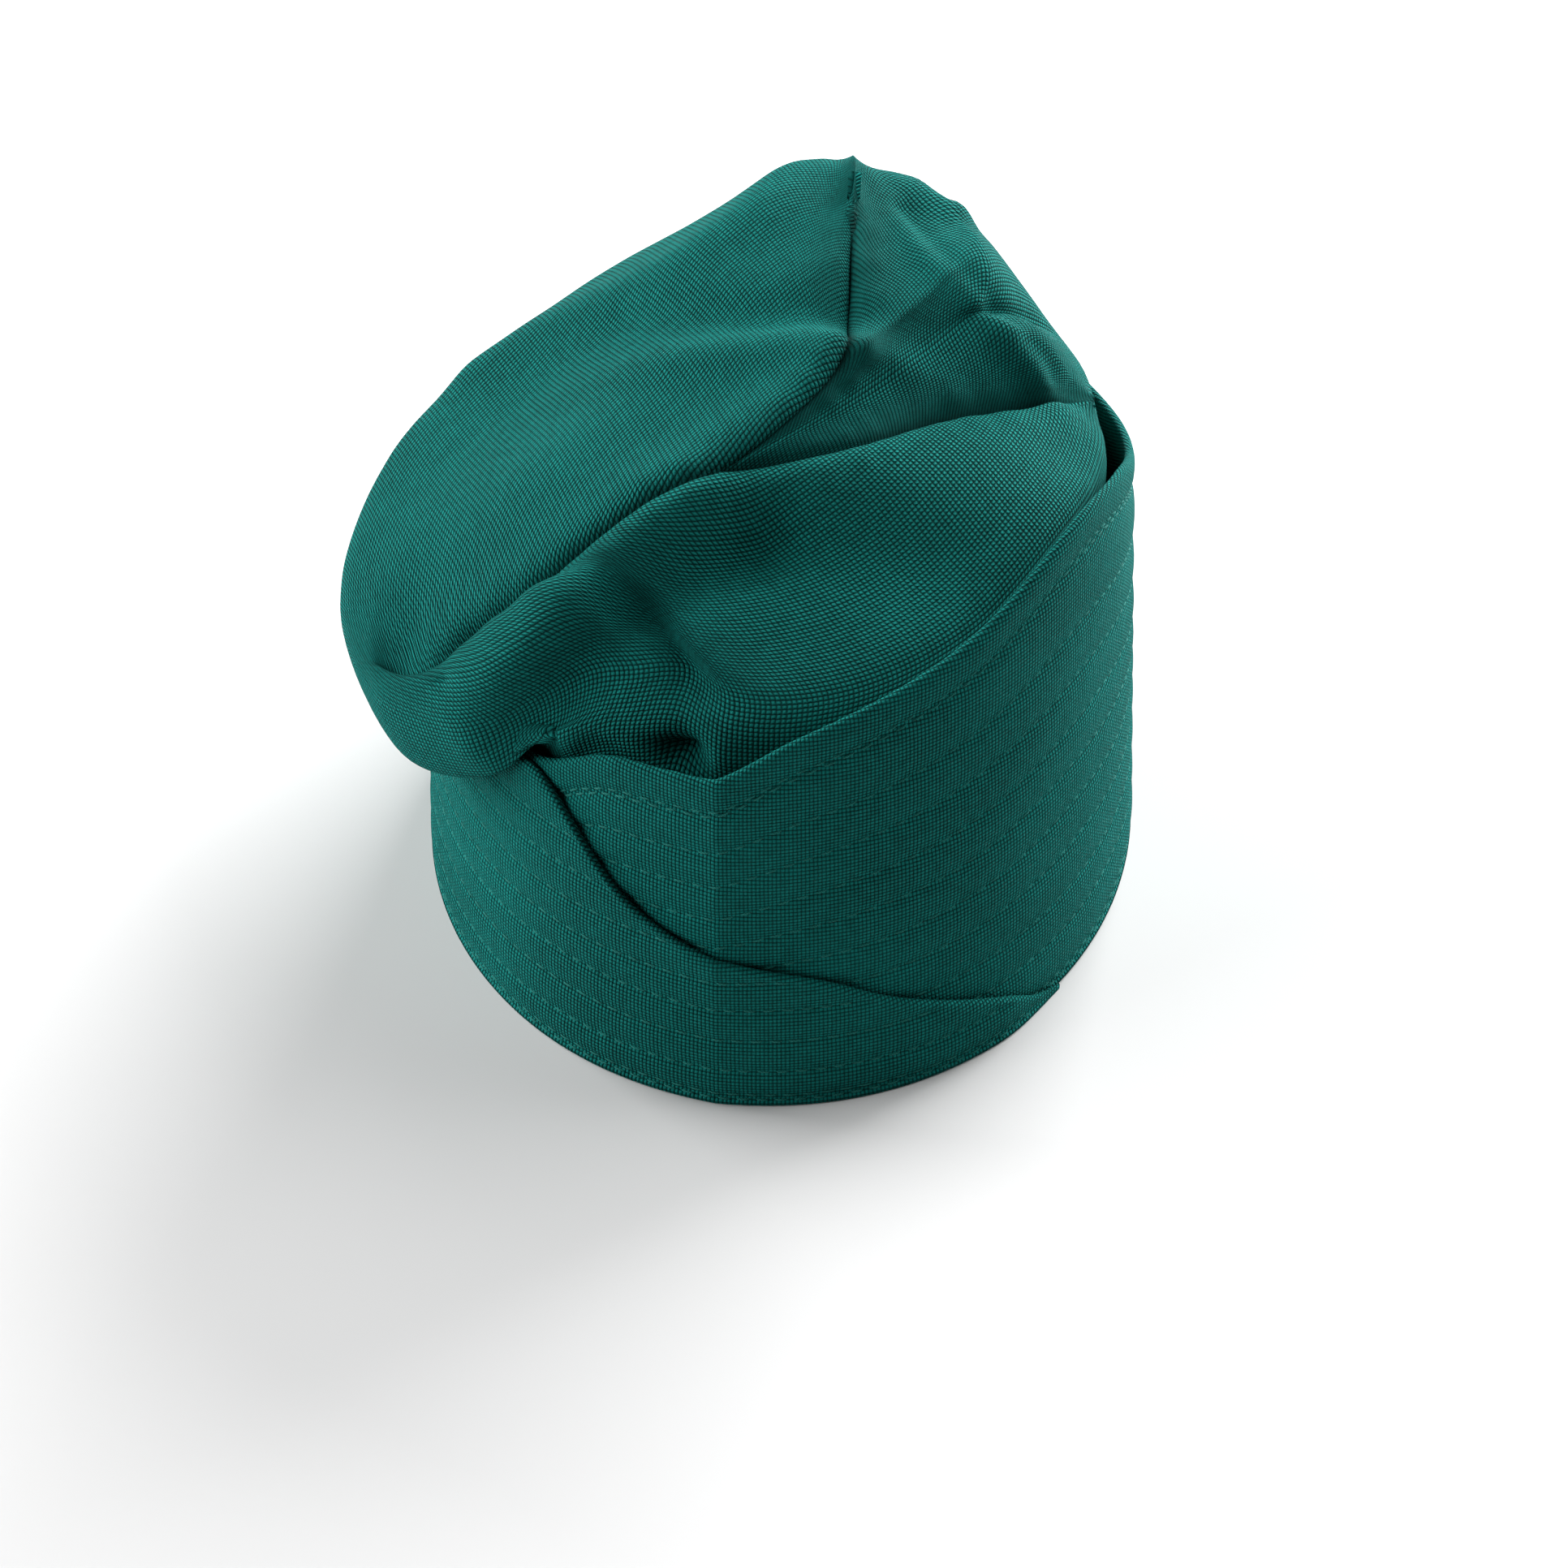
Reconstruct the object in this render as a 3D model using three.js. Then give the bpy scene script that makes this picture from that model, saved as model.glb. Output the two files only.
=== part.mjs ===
// Turban hat: a soft cloth crown that leans over to the front left, inside a turned-up band
// made of two wraps that cross over the forehead. Millimetres, +Z up, front towards -Y.
import * as THREE from "three";
import { mergeVertices } from "three/addons/utils/BufferGeometryUtils.js";

// Driving sizes
const RIM_HALF_WIDTH = 86.3;
const RIM_HALF_DEPTH = 102.5;
const BAND_HEIGHT = 131;
const BAND_LEAN = 5;
const PROW_REACH = 5;
const CROWN_HEIGHT = 156;
const CROWN_WALL = 1.6;
const WRAP_THICKNESS = 2.2;
const LAYER_GAP = 0.4;
const LOBE_REACH = 34;
const LOBE_DROP = 41;
const SEAM_ROLL = 5;
const SEAM_SINK = 2.2;
const FOLD_SIZE = 10;

// Faces along each piece
const SEAM_COLUMN_COUNT = { back: 11, front: 13, side: 12 };
const LEVEL_ROW_COUNT = [2, 2, 3, 4, 4, 4, 3, 3, 2];
const WRAP_STEP_DEGREES = 5;
const WRAP_ROW_COUNT = 6;
const MERGE_DISTANCE = 1e-4;

const { clamp, degToRad, lerp, radToDeg, smoothstep } = THREE.MathUtils;

const FULL_TURN = 360;

// Azimuths are degrees about +Z: 0 is the front, 90 the viewer's right, 180 the back and -90
// the viewer's left.
const CREASE_AZIMUTH = -5;
const PROW_SPREAD_DEGREES = 50;
const CORNER_AZIMUTH = { back: 165, side: 104, front: -65 };
const BACK_END_AZIMUTH = 180 - radToDeg(LAYER_GAP / 2 / RIM_HALF_WIDTH);

// Heights of each wrap's upper edge, as shares of BAND_HEIGHT.
const INNER_WRAP_EDGE = [
  { azimuth: -92, height: 0.6 },
  { azimuth: -40, height: 0.6 },
  { azimuth: -24, height: 0.7 },
  { azimuth: -13, height: 0.725 },
  { azimuth: -5, height: 0.74 },
  { azimuth: 8, height: 0.815 },
  { azimuth: 35, height: 0.91 },
  { azimuth: 60, height: 1 },
  { azimuth: 78, height: 0.95 },
  { azimuth: 95, height: 0.84 },
  { azimuth: 122, height: 0.735 },
  { azimuth: BACK_END_AZIMUTH, height: 0.67 },
];
const OUTER_WRAP_EDGE = [
  { azimuth: -BACK_END_AZIMUTH, height: 0.67 },
  { azimuth: -130, height: 0.65 },
  { azimuth: -90, height: 0.62 },
  { azimuth: -60, height: 0.6 },
  { azimuth: -48, height: 0.575 },
  { azimuth: -36, height: 0.595 },
  { azimuth: -21, height: 0.43 },
  { azimuth: -11, height: 0.366 },
  { azimuth: 0, height: 0.325 },
  { azimuth: 12, height: 0.28 },
  { azimuth: 22, height: 0.215 },
  { azimuth: 43, height: 0.09 },
  { azimuth: 55, height: 0.02 },
];

// How many degrees before the inner wrap's hidden end the outer wrap starts and ends its step
// out from the inner layer.
const LAYER_STEP_DEGREES = { start: 35, end: 5 };

// Rings of the crown from the rim up. Height is a share of CROWN_HEIGHT; width and depth are
// shares of the band's inside; back and side tilt a ring up at its back and at its right, as
// shares of CROWN_HEIGHT; reach and drop say how much of the lobe it takes. Where the crown
// leans out over the band, the brim and arch rings follow the band's edge instead: over is a
// share of CROWN_HEIGHT above that edge, and layer a share of the band's thickness.
const CROWN_RINGS = [
  { name: "rim", height: 0, width: 1, depth: 1, back: 0, side: 0, reach: 0, drop: 0 },
  { name: "wall", height: 0.26, width: 0.985, depth: 0.985, back: 0, side: 0, reach: 0, drop: 0 },
  { name: "brim", height: 0.52, width: 0.96, depth: 0.965, back: 0, side: 0.01, over: -0.06, layer: 1.6 },
  { name: "arch", height: 0.595, width: 0.945, depth: 0.95, back: 0.01, side: 0.02, over: 0.043, layer: 0.6 },
  { name: "hang", height: 0.665, width: 0.94, depth: 0.935, back: 0.02, side: 0.02, reach: 0.75, drop: 1 },
  { name: "girth", height: 0.71, width: 0.93, depth: 0.88, back: 0.03, side: 0.01, reach: 1, drop: 0.75 },
];

// How far the crown leans out over the band at each azimuth: reach and drop are shares of
// LOBE_REACH and LOBE_DROP.
const LOBE = [
  { azimuth: -190, reach: 0, drop: 0 },
  { azimuth: -150, reach: 0.06, drop: 0 },
  { azimuth: -120, reach: 0.22, drop: 0.2 },
  { azimuth: -95, reach: 0.7, drop: 0.5 },
  { azimuth: -75, reach: 0.97, drop: 0.85 },
  { azimuth: -60, reach: 0.92, drop: 0.95 },
  { azimuth: -50, reach: 0.76, drop: 0.82 },
  { azimuth: -42, reach: 0.6, drop: 0.6 },
  { azimuth: -36, reach: 0.38, drop: 0.34 },
  { azimuth: -30, reach: 0.14, drop: 0.1 },
  { azimuth: -24, reach: 0, drop: 0 },
  { azimuth: -14, reach: -0.2, drop: 0 },
  { azimuth: -4, reach: 0, drop: 0 },
  { azimuth: 15, reach: 0, drop: 0 },
  { azimuth: 40, reach: 0, drop: -0.15 },
  { azimuth: 62, reach: 0, drop: -0.35 },
  { azimuth: 85, reach: 0, drop: -0.15 },
  { azimuth: 104, reach: 0, drop: 0 },
  { azimuth: 170, reach: 0, drop: 0 },
];
// The share of the lobe's reach from which the crown follows the band's edge closely.
const LOBE_OVER_EDGE_SHARE = 0.3;

// How far the crown stands above the straight way from its girth to the top seam, in FOLD_SIZE,
// a third of the way up (low) and two thirds of the way up (high).
const SWELL_SHARES = { low: 0.3, high: 0.65 };
const SWELL = [
  { azimuth: -65, low: 0.4, high: 0 },
  { azimuth: -50, low: 0.7, high: 0.4 },
  { azimuth: -30, low: 0.9, high: 0.9 },
  { azimuth: -15, low: 0.3, high: 0.5 },
  { azimuth: 15, low: 0, high: 0.1 },
  { azimuth: 60, low: 0.2, high: 0.2 },
  { azimuth: 104, low: 0.2, high: 0.1 },
  { azimuth: 120, low: 1.5, high: 0.7 },
  { azimuth: 135, low: 2.4, high: 0.9 },
  { azimuth: 150, low: 2.7, high: 1 },
  { azimuth: 158, low: 2.2, high: 0.9 },
  { azimuth: 165, low: 1.5, high: 0.7 },
  { azimuth: 180, low: 2, high: 1.1 },
  { azimuth: 195, low: 2.3, high: 1.2 },
  { azimuth: 210, low: 1.6, high: 1.1 },
  { azimuth: 225, low: 0.8, high: 0.9 },
  { azimuth: 240, low: 0.2, high: 0.7 },
  { azimuth: 255, low: 0.1, high: 0.6 },
  { azimuth: 280, low: 0.5, high: 0.2 },
  { azimuth: 295, low: 0.4, high: 0 },
];
// Towards a corner, within this share of a panel, the roll beside the seam shrinks to a part.
const CORNER_ROLL_SHARE = { within: 0.15, part: 0.5 };

// The three-armed seam that closes the crown: across and along are shares of the rim's
// half-width and half-depth, up is a share of CROWN_HEIGHT.
const LONG_SEAM = [
  { name: "back tip", across: 0.13, along: 0.52, up: 0.99 },
  { name: "back", across: 0.14, along: 0.27, up: 0.95 },
  { name: "kink", across: 0.152, along: -0.067, up: 0.917 },
  { name: "bend", across: 0.012, along: -0.27, up: 0.885 },
  { name: "junction", across: -0.14, along: -0.365, up: 0.853 },
  { name: "slope", across: -0.336, along: -0.437, up: 0.814 },
  { name: "middle", across: -0.496, along: -0.495, up: 0.756 },
  { name: "low", across: -0.637, along: -0.558, up: 0.692 },
  { name: "pinch", across: -0.784, along: -0.577, up: 0.622 },
  { name: "drooping end", across: -0.93, along: -0.596, up: 0.538 },
];
const SIDE_SEAM = [
  { name: "side corner", across: 0.81, along: 0.175, up: 0.74 },
  { name: "side", across: 0.62, along: 0.05, up: 0.79 },
  { name: "middle", across: 0.42, along: -0.08, up: 0.825 },
  { name: "inner", across: 0.18, along: -0.26, up: 0.86 },
  { name: "junction", across: -0.14, along: -0.365, up: 0.853 },
];
const JUNCTION = LONG_SEAM.findIndex((row) => row.name === "junction");

// Folds and hollows in the crown: each runs between two places, given by azimuth and by level,
// where level counts the rings up from 0 at the rim. Width and height are in FOLD_SIZE, and a
// height below 0 is a hollow.
const FOLDS = [
  {
    name: "left ridge", width: 0.8, height: 0.35,
    from: { azimuth: 200, level: 6.1 }, to: { azimuth: 255, level: 5.9 },
  },
  {
    name: "left hollow", width: 0.9, height: -0.5,
    from: { azimuth: 194, level: 7.6 }, to: { azimuth: 216, level: 7 },
  },
  {
    name: "left roll", width: 1.1, height: 0.35,
    from: { azimuth: 214, level: 7.8 }, to: { azimuth: 246, level: 6.5 },
  },
  {
    name: "right ridge", width: 0.6, height: 0.3,
    from: { azimuth: 156, level: 7.3 }, to: { azimuth: 118, level: 7.2 },
  },
  {
    name: "right valley", width: 0.6, height: -0.25,
    from: { azimuth: 156, level: 6.6 }, to: { azimuth: 118, level: 6.6 },
  },
  {
    name: "front roll", width: 0.8, height: 0.4,
    from: { azimuth: -8, level: 7.4 }, to: { azimuth: -40, level: 7 },
  },
  {
    name: "front valley", width: 1.1, height: -0.65,
    from: { azimuth: 8, level: 7 }, to: { azimuth: -34, level: 6 },
  },
  {
    name: "valley end", width: 0.8, height: -0.4,
    from: { azimuth: -34, level: 6 }, to: { azimuth: -40, level: 5.2 },
  },
  {
    name: "front hollow", width: 1.7, height: -0.5,
    from: { azimuth: 12, level: 7 }, to: { azimuth: 52, level: 7 },
  },
  {
    name: "front pinch", width: 0.6, height: -0.6,
    from: { azimuth: -13, level: 3.2 }, to: { azimuth: -13, level: 4.8 },
  },
  {
    name: "end dimple", width: 0.6, height: -0.3,
    from: { azimuth: -63, level: 6.4 }, to: { azimuth: -65, level: 5.6 },
  },
];
// Levels over which the folds grow above the band and die out beside the seam.
const FOLD_START_LEVEL = { none: 2.2, full: 3.2 };
const FOLD_STOP_LEVEL = { full: 7.8, none: 8.8 };

const TOP_LEVEL = CROWN_RINGS.length + Object.keys(SWELL_SHARES).length + 1;

/** Reads a table at a place between its rows, on a smooth curve through them. */
function readTable(rows, place, key, value) {
  const last = rows.length - 1;
  const x = clamp(place, rows[0][key], rows[last][key]);
  let i = 0;
  while (i < last - 1 && x > rows[i + 1][key]) i += 1;
  const slope = (a, b) => (rows[b][value] - rows[a][value]) / (rows[b][key] - rows[a][key]);
  const startSlope = slope(Math.max(i - 1, 0), i + 1);
  const endSlope = slope(i, Math.min(i + 2, last));
  const step = rows[i + 1][key] - rows[i][key];
  const t = (x - rows[i][key]) / step;
  const straight = lerp(rows[i][value], rows[i + 1][value], t * t * (3 - 2 * t));
  return straight + step * t * (1 - t) * ((1 - t) * startSlope - t * endSlope);
}

/** The band's outline at a height: inset is measured inwards from the outermost cloth. */
function bandPoint(azimuth, height, inset) {
  const lean = BAND_LEAN * (height / BAND_HEIGHT);
  const angle = degToRad(azimuth);
  const halfWidth = RIM_HALF_WIDTH - inset - lean;
  const halfDepth = RIM_HALF_DEPTH - inset - lean;
  return new THREE.Vector3(halfWidth * Math.sin(angle), -halfDepth * Math.cos(angle), height);
}

/** A point of a wrap, which stands forward like a prow round its crease. */
function wrapPoint(azimuth, height, inset) {
  const fromCrease = Math.abs(azimuth - CREASE_AZIMUTH) / PROW_SPREAD_DEGREES;
  const reach = PROW_REACH * Math.max(0, 1 - fromCrease) ** 2 * (height / BAND_HEIGHT);
  const point = bandPoint(azimuth, height, inset);
  point.y -= reach * Math.cos(degToRad(azimuth));
  return point;
}

/** Builds a mesh geometry from points joined by quads. */
function skinGeometry(points, quads) {
  const positions = [];
  for (const [a, b, c, d] of quads) {
    for (const corner of [a, b, c, a, c, d]) positions.push(...points[corner].toArray());
  }
  const geometry = new THREE.BufferGeometry();
  geometry.setAttribute("position", new THREE.Float32BufferAttribute(positions, 3));
  return mergeVertices(geometry, MERGE_DISTANCE);
}

// Crown

const LAYERS_OUTSIDE_CROWN = 2 * (WRAP_THICKNESS + LAYER_GAP);

function seamCurve(rows) {
  const size = new THREE.Vector3(RIM_HALF_WIDTH, RIM_HALF_DEPTH, CROWN_HEIGHT);
  const points = rows.map((row) => new THREE.Vector3(row.across, row.along, row.up).multiply(size));
  return new THREE.CatmullRomCurve3(points, false, "centripetal");
}

const longSeam = seamCurve(LONG_SEAM);
const sideSeam = seamCurve(SIDE_SEAM);
const junctionAt = JUNCTION / (LONG_SEAM.length - 1);
const junction = longSeam.points[JUNCTION];

/** The seam's three arms, each from its own corner of the crown to the junction. */
const seamArms = {
  back: (share) => longSeam.getPoint(share * junctionAt),
  front: (share) => longSeam.getPoint(1 - share * (1 - junctionAt)),
  side: (share) => sideSeam.getPoint(share),
};

const frontAzimuth = CORNER_AZIMUTH.front + FULL_TURN;
const sideAzimuth = CORNER_AZIMUTH.side + FULL_TURN;

/** The crown's three panels, in order round the hat, with the azimuths that they span. */
const PANELS = [
  { from: "back", to: "front", start: CORNER_AZIMUTH.back, end: frontAzimuth },
  { from: "front", to: "side", start: frontAzimuth, end: sideAzimuth },
  { from: "side", to: "back", start: sideAzimuth, end: CORNER_AZIMUTH.back + FULL_TURN },
];

const panelColumns = (panel) => SEAM_COLUMN_COUNT[panel.from] + SEAM_COLUMN_COUNT[panel.to];

/** Where a panel's column meets the seam; columns count from the panel's first corner. */
function seamPoint(panel, column) {
  const before = SEAM_COLUMN_COUNT[panel.from];
  if (column === before) return junction.clone();
  if (column < before) return seamArms[panel.from](column / before);
  return seamArms[panel.to]((panelColumns(panel) - column) / SEAM_COLUMN_COUNT[panel.to]);
}

/** The same azimuth within the turn that begins at start. */
const turnedFrom = (start, azimuth) => THREE.MathUtils.euclideanModulo(azimuth - start, FULL_TURN) + start;

/** The higher of the two wraps' edges at an azimuth from -180 to 180. */
function bandEdge(azimuth) {
  const edges = [INNER_WRAP_EDGE, OUTER_WRAP_EDGE].filter(
    (rows) => azimuth >= rows[0].azimuth && azimuth <= rows[rows.length - 1].azimuth,
  );
  return BAND_HEIGHT * Math.max(0, ...edges.map((rows) => readTable(rows, azimuth, "azimuth", "height")));
}

/** A point of one of the crown's rings. */
function ringPoint(ring, azimuth) {
  const angle = degToRad(azimuth);
  const turned = turnedFrom(LOBE[0].azimuth, azimuth);
  const lean = readTable(LOBE, turned, "azimuth", "reach");
  const base = bandPoint(azimuth, ring.height * CROWN_HEIGHT, LAYERS_OUTSIDE_CROWN);
  base.multiply(new THREE.Vector3(ring.width, ring.depth, 1));
  base.z += (ring.back * -Math.cos(angle) + ring.side * Math.sin(angle)) * CROWN_HEIGHT;
  if (ring.over !== undefined) {
    const height = bandEdge(turnedFrom(-180, azimuth)) + ring.over * CROWN_HEIGHT;
    const over = bandPoint(azimuth, height, ring.layer * LAYERS_OUTSIDE_CROWN);
    return base.lerp(over, smoothstep(lean, 0, LOBE_OVER_EDGE_SHARE));
  }
  const reach = lean * ring.reach * LOBE_REACH;
  const drop = readTable(LOBE, turned, "azimuth", "drop") * ring.drop * LOBE_DROP;
  return base.add(new THREE.Vector3(reach * Math.sin(angle), -reach * Math.cos(angle), -drop));
}

/** One column of the crown: a curve from the rim up to the seam. */
function columnCurve(panel, column) {
  const share = column / panelColumns(panel);
  const azimuth = lerp(panel.start, panel.end, share);
  const points = CROWN_RINGS.map((ring) => ringPoint(ring, azimuth));
  const girth = points[points.length - 1];
  const seam = seamPoint(panel, column);
  const turned = turnedFrom(SWELL[0].azimuth, azimuth);
  for (const [row, way] of Object.entries(SWELL_SHARES)) {
    const point = girth.clone().lerp(seam, way);
    point.z += FOLD_SIZE * readTable(SWELL, turned, "azimuth", row);
    points.push(point);
  }
  const aside = points[points.length - 1].clone().sub(seam).normalize();
  const fromCorner = smoothstep(Math.min(share, 1 - share), 0, CORNER_ROLL_SHARE.within);
  const plump = lerp(CORNER_ROLL_SHARE.part, 1, fromCorner);
  const roll = seam.clone().addScaledVector(aside, SEAM_ROLL * plump);
  roll.z += SEAM_SINK * plump;
  points.push(roll, seam);
  return new THREE.CatmullRomCurve3(points, false, "centripetal");
}

/** A place on the crown before it is folded, by azimuth and level. */
function crownPlace({ azimuth, level }) {
  const turned = turnedFrom(PANELS[0].start, azimuth);
  const panel = PANELS.find((candidate) => turned <= candidate.end);
  const share = (turned - panel.start) / (panel.end - panel.start);
  return columnCurve(panel, share * panelColumns(panel)).getPoint(level / TOP_LEVEL);
}

const foldLines = FOLDS.map((fold) => ({
  line: new THREE.Line3(crownPlace(fold.from), crownPlace(fold.to)),
  width: fold.width * FOLD_SIZE,
  height: fold.height * FOLD_SIZE,
}));

/** How far the folds move a point of the crown along its normal. */
function foldHeight(point) {
  const nearest = new THREE.Vector3();
  let height = 0;
  for (const fold of foldLines) {
    fold.line.closestPointToPoint(point, true, nearest);
    height += fold.height * Math.exp(-((nearest.distanceTo(point) / fold.width) ** 2));
  }
  return height;
}

/** Point normals of a closed grid of points, from the quads that meet at each one. */
function pointNormals(points, quads) {
  const normals = points.map(() => new THREE.Vector3());
  for (const [a, b, c, d] of quads) {
    const across = points[c].clone().sub(points[a]);
    const up = points[d].clone().sub(points[b]);
    const normal = across.cross(up);
    for (const corner of [a, b, c, d]) normals[corner].add(normal);
  }
  return normals.map((normal) => normal.normalize());
}

function crownGeometry() {
  const columns = [];
  for (const panel of PANELS) {
    for (let i = 0; i < panelColumns(panel); i += 1) columns.push(columnCurve(panel, i));
  }
  const levels = [0];
  LEVEL_ROW_COUNT.forEach((steps, level) => {
    for (let i = 1; i <= steps; i += 1) levels.push((level + i / steps) / TOP_LEVEL);
  });
  const rows = levels.length;
  // The top row is the seam itself, so that two panels' points there are exactly the same.
  const outer = columns.flatMap((column) =>
    levels.map((level) => (level === 1 ? column.points.at(-1).clone() : column.getPoint(level))),
  );
  const quads = [];
  columns.forEach((_, i) => {
    const here = i * rows;
    const next = ((i + 1) % columns.length) * rows;
    for (let j = 0; j + 1 < rows; j += 1) quads.push([here + j, next + j, next + j + 1, here + j + 1]);
  });
  let normals = sharedNormals(outer, pointNormals(outer, quads));
  outer.forEach((point, i) => {
    const level = levels[i % rows] * TOP_LEVEL;
    const started = smoothstep(level, FOLD_START_LEVEL.none, FOLD_START_LEVEL.full);
    const stopped = smoothstep(level, FOLD_STOP_LEVEL.full, FOLD_STOP_LEVEL.none);
    point.addScaledVector(normals[i], foldHeight(point) * started * (1 - stopped));
  });
  normals = sharedNormals(outer, pointNormals(outer, quads));
  const inner = outer.map((point, i) => {
    const inside = point.clone().addScaledVector(normals[i], -CROWN_WALL);
    if (i % rows === 0) inside.z = 0;
    return inside;
  });
  const points = [...outer, ...inner];
  const innerQuads = quads.map((quad) => quad.map((corner) => corner + outer.length).reverse());
  const rimQuads = columns.map((_, i) => {
    const here = i * rows;
    const next = ((i + 1) % columns.length) * rows;
    return [next, here, here + outer.length, next + outer.length];
  });
  return skinGeometry(points, [...quads, ...innerQuads, ...rimQuads]);
}

/** Gives points that lie on each other one shared normal. */
function sharedNormals(points, normals) {
  const sums = new Map();
  const keyOf = (point) => point.toArray().map((value) => Math.round(value / MERGE_DISTANCE)).join();
  points.forEach((point, i) => {
    const key = keyOf(point);
    if (!sums.has(key)) sums.set(key, new THREE.Vector3());
    sums.get(key).add(normals[i]);
  });
  return points.map((point) => sums.get(keyOf(point)).clone().normalize());
}

// Wraps

/** How far in from the outermost cloth each wrap's outer face lies at an azimuth. */
const innerWrapInset = () => WRAP_THICKNESS + LAYER_GAP;
function outerWrapInset(azimuth) {
  const hiddenEnd = INNER_WRAP_EDGE[0].azimuth;
  const out = smoothstep(azimuth, hiddenEnd - LAYER_STEP_DEGREES.start, hiddenEnd - LAYER_STEP_DEGREES.end);
  return innerWrapInset() * (1 - out);
}

/** A strip of cloth round the band, between two flat ends, with its upper edge from a table. */
function wrapGeometry(edge, insetAt) {
  const start = edge[0].azimuth;
  const end = edge[edge.length - 1].azimuth;
  const steps = Math.round((end - start) / WRAP_STEP_DEGREES);
  const points = [];
  const size = 2 * (WRAP_ROW_COUNT + 1);
  for (let i = 0; i <= steps; i += 1) {
    const azimuth = lerp(start, end, i / steps);
    const top = readTable(edge, azimuth, "azimuth", "height") * BAND_HEIGHT;
    const inset = insetAt(azimuth);
    const heights = Array.from({ length: WRAP_ROW_COUNT + 1 }, (_, j) => (top * j) / WRAP_ROW_COUNT);
    for (const height of heights) points.push(wrapPoint(azimuth, height, inset));
    for (const height of heights.reverse()) points.push(wrapPoint(azimuth, height, inset + WRAP_THICKNESS));
  }
  const quads = [];
  for (let i = 0; i < steps; i += 1) {
    const here = i * size;
    const next = here + size;
    for (let j = 0; j < size; j += 1) {
      const after = (j + 1) % size;
      quads.push([here + j, next + j, next + after, here + after]);
    }
  }
  const last = steps * size;
  for (let j = 0; j < WRAP_ROW_COUNT; j += 1) {
    const back = size - 1 - j;
    quads.push([back, j, j + 1, back - 1]);
    quads.push([last + j, last + back, last + back - 1, last + j + 1]);
  }
  return skinGeometry(points, quads);
}

// Cloth

function cloth(name, color, roughness) {
  return new THREE.MeshStandardMaterial({ name, color, roughness, metalness: 0 });
}

const wrapCloth = cloth("wrap_cloth", 0x0a5546, 0.85);
const crownCloth = cloth("crown_cloth", 0x0b5a49, 0.88);

function piece(name, geometry, material) {
  const mesh = new THREE.Mesh(geometry, material);
  mesh.name = name;
  return mesh;
}

const group = new THREE.Group();
group.add(piece("crown", crownGeometry(), crownCloth));
group.add(piece("right_wrap", wrapGeometry(INNER_WRAP_EDGE, innerWrapInset), wrapCloth));
group.add(piece("left_wrap", wrapGeometry(OUTER_WRAP_EDGE, outerWrapInset), wrapCloth));

// The origin is under the middle of the whole hat's box.
const box = new THREE.Box3().setFromObject(group);
const middle = box.getCenter(new THREE.Vector3());
group.position.set(-middle.x, -middle.y, -box.min.z);
group.updateMatrixWorld(true);

export default group;
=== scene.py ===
"""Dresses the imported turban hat: a slouched crown in a band of two crossed, stitched wraps.

Shapes are worked out in millimetres from the hat's own sizes, as the source does, and are
turned into metres when a mesh is made. Azimuths are degrees about +Z: 0 is the front, 90 the
viewer's right, 180 the back and -90 the viewer's left.
"""
import logging
import math
from dataclasses import dataclass, field
from enum import Enum

import bpy
import numpy as np
from mathutils import Matrix, Vector, kdtree, noise


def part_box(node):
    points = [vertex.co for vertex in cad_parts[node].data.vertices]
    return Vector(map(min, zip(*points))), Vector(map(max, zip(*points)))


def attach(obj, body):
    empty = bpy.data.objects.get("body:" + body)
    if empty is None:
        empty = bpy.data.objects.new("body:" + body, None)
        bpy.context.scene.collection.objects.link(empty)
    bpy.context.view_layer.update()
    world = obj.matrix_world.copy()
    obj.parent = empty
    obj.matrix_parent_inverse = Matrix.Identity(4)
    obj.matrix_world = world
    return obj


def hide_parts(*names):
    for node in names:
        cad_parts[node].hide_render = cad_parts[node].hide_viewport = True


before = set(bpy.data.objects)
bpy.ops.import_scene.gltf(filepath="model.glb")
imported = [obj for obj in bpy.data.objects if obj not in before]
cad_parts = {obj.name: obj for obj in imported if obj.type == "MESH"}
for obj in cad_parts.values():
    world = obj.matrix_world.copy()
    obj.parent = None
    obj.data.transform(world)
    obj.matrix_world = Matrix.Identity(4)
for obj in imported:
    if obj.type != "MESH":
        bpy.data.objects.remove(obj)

Array = np.ndarray
LOG = logging.getLogger("turban_hat")
MM = 0.001
CLOTH_MAP = "Cloth"
# Point attribute of the crown, 1 at the seam and fading away from it, that darkens the cloth's colour:
# painted shade in the seam's groove
SEAM_SHADE_MASK = "Seam"
TINY = 1e-12
# Points nearer than this many millimetres are one point
SAME_POINT = 0.001
# A stitch is a six-sided tube, and two faces close each of its ends
TUBE_SIDES = 6
TUBE_CAP = ((0, 5, 4, 1), (1, 4, 3, 2))


class Side(Enum):
    """The two wraps of the band."""

    LEFT = "left_wrap"
    RIGHT = "right_wrap"


# Tables and curves


def smoothstep(values: Array, low: float, high: float) -> Array:
    """Eases values from 0 at low to 1 at high.

    Args:
        values: Numbers to ease.
        low: Value that gives 0.
        high: Value that gives 1.

    Returns:
        Shares from 0 to 1.
    """
    t = np.clip((np.asarray(values, float) - low) / (high - low), 0, 1)
    return t * t * (3 - 2 * t)


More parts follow.
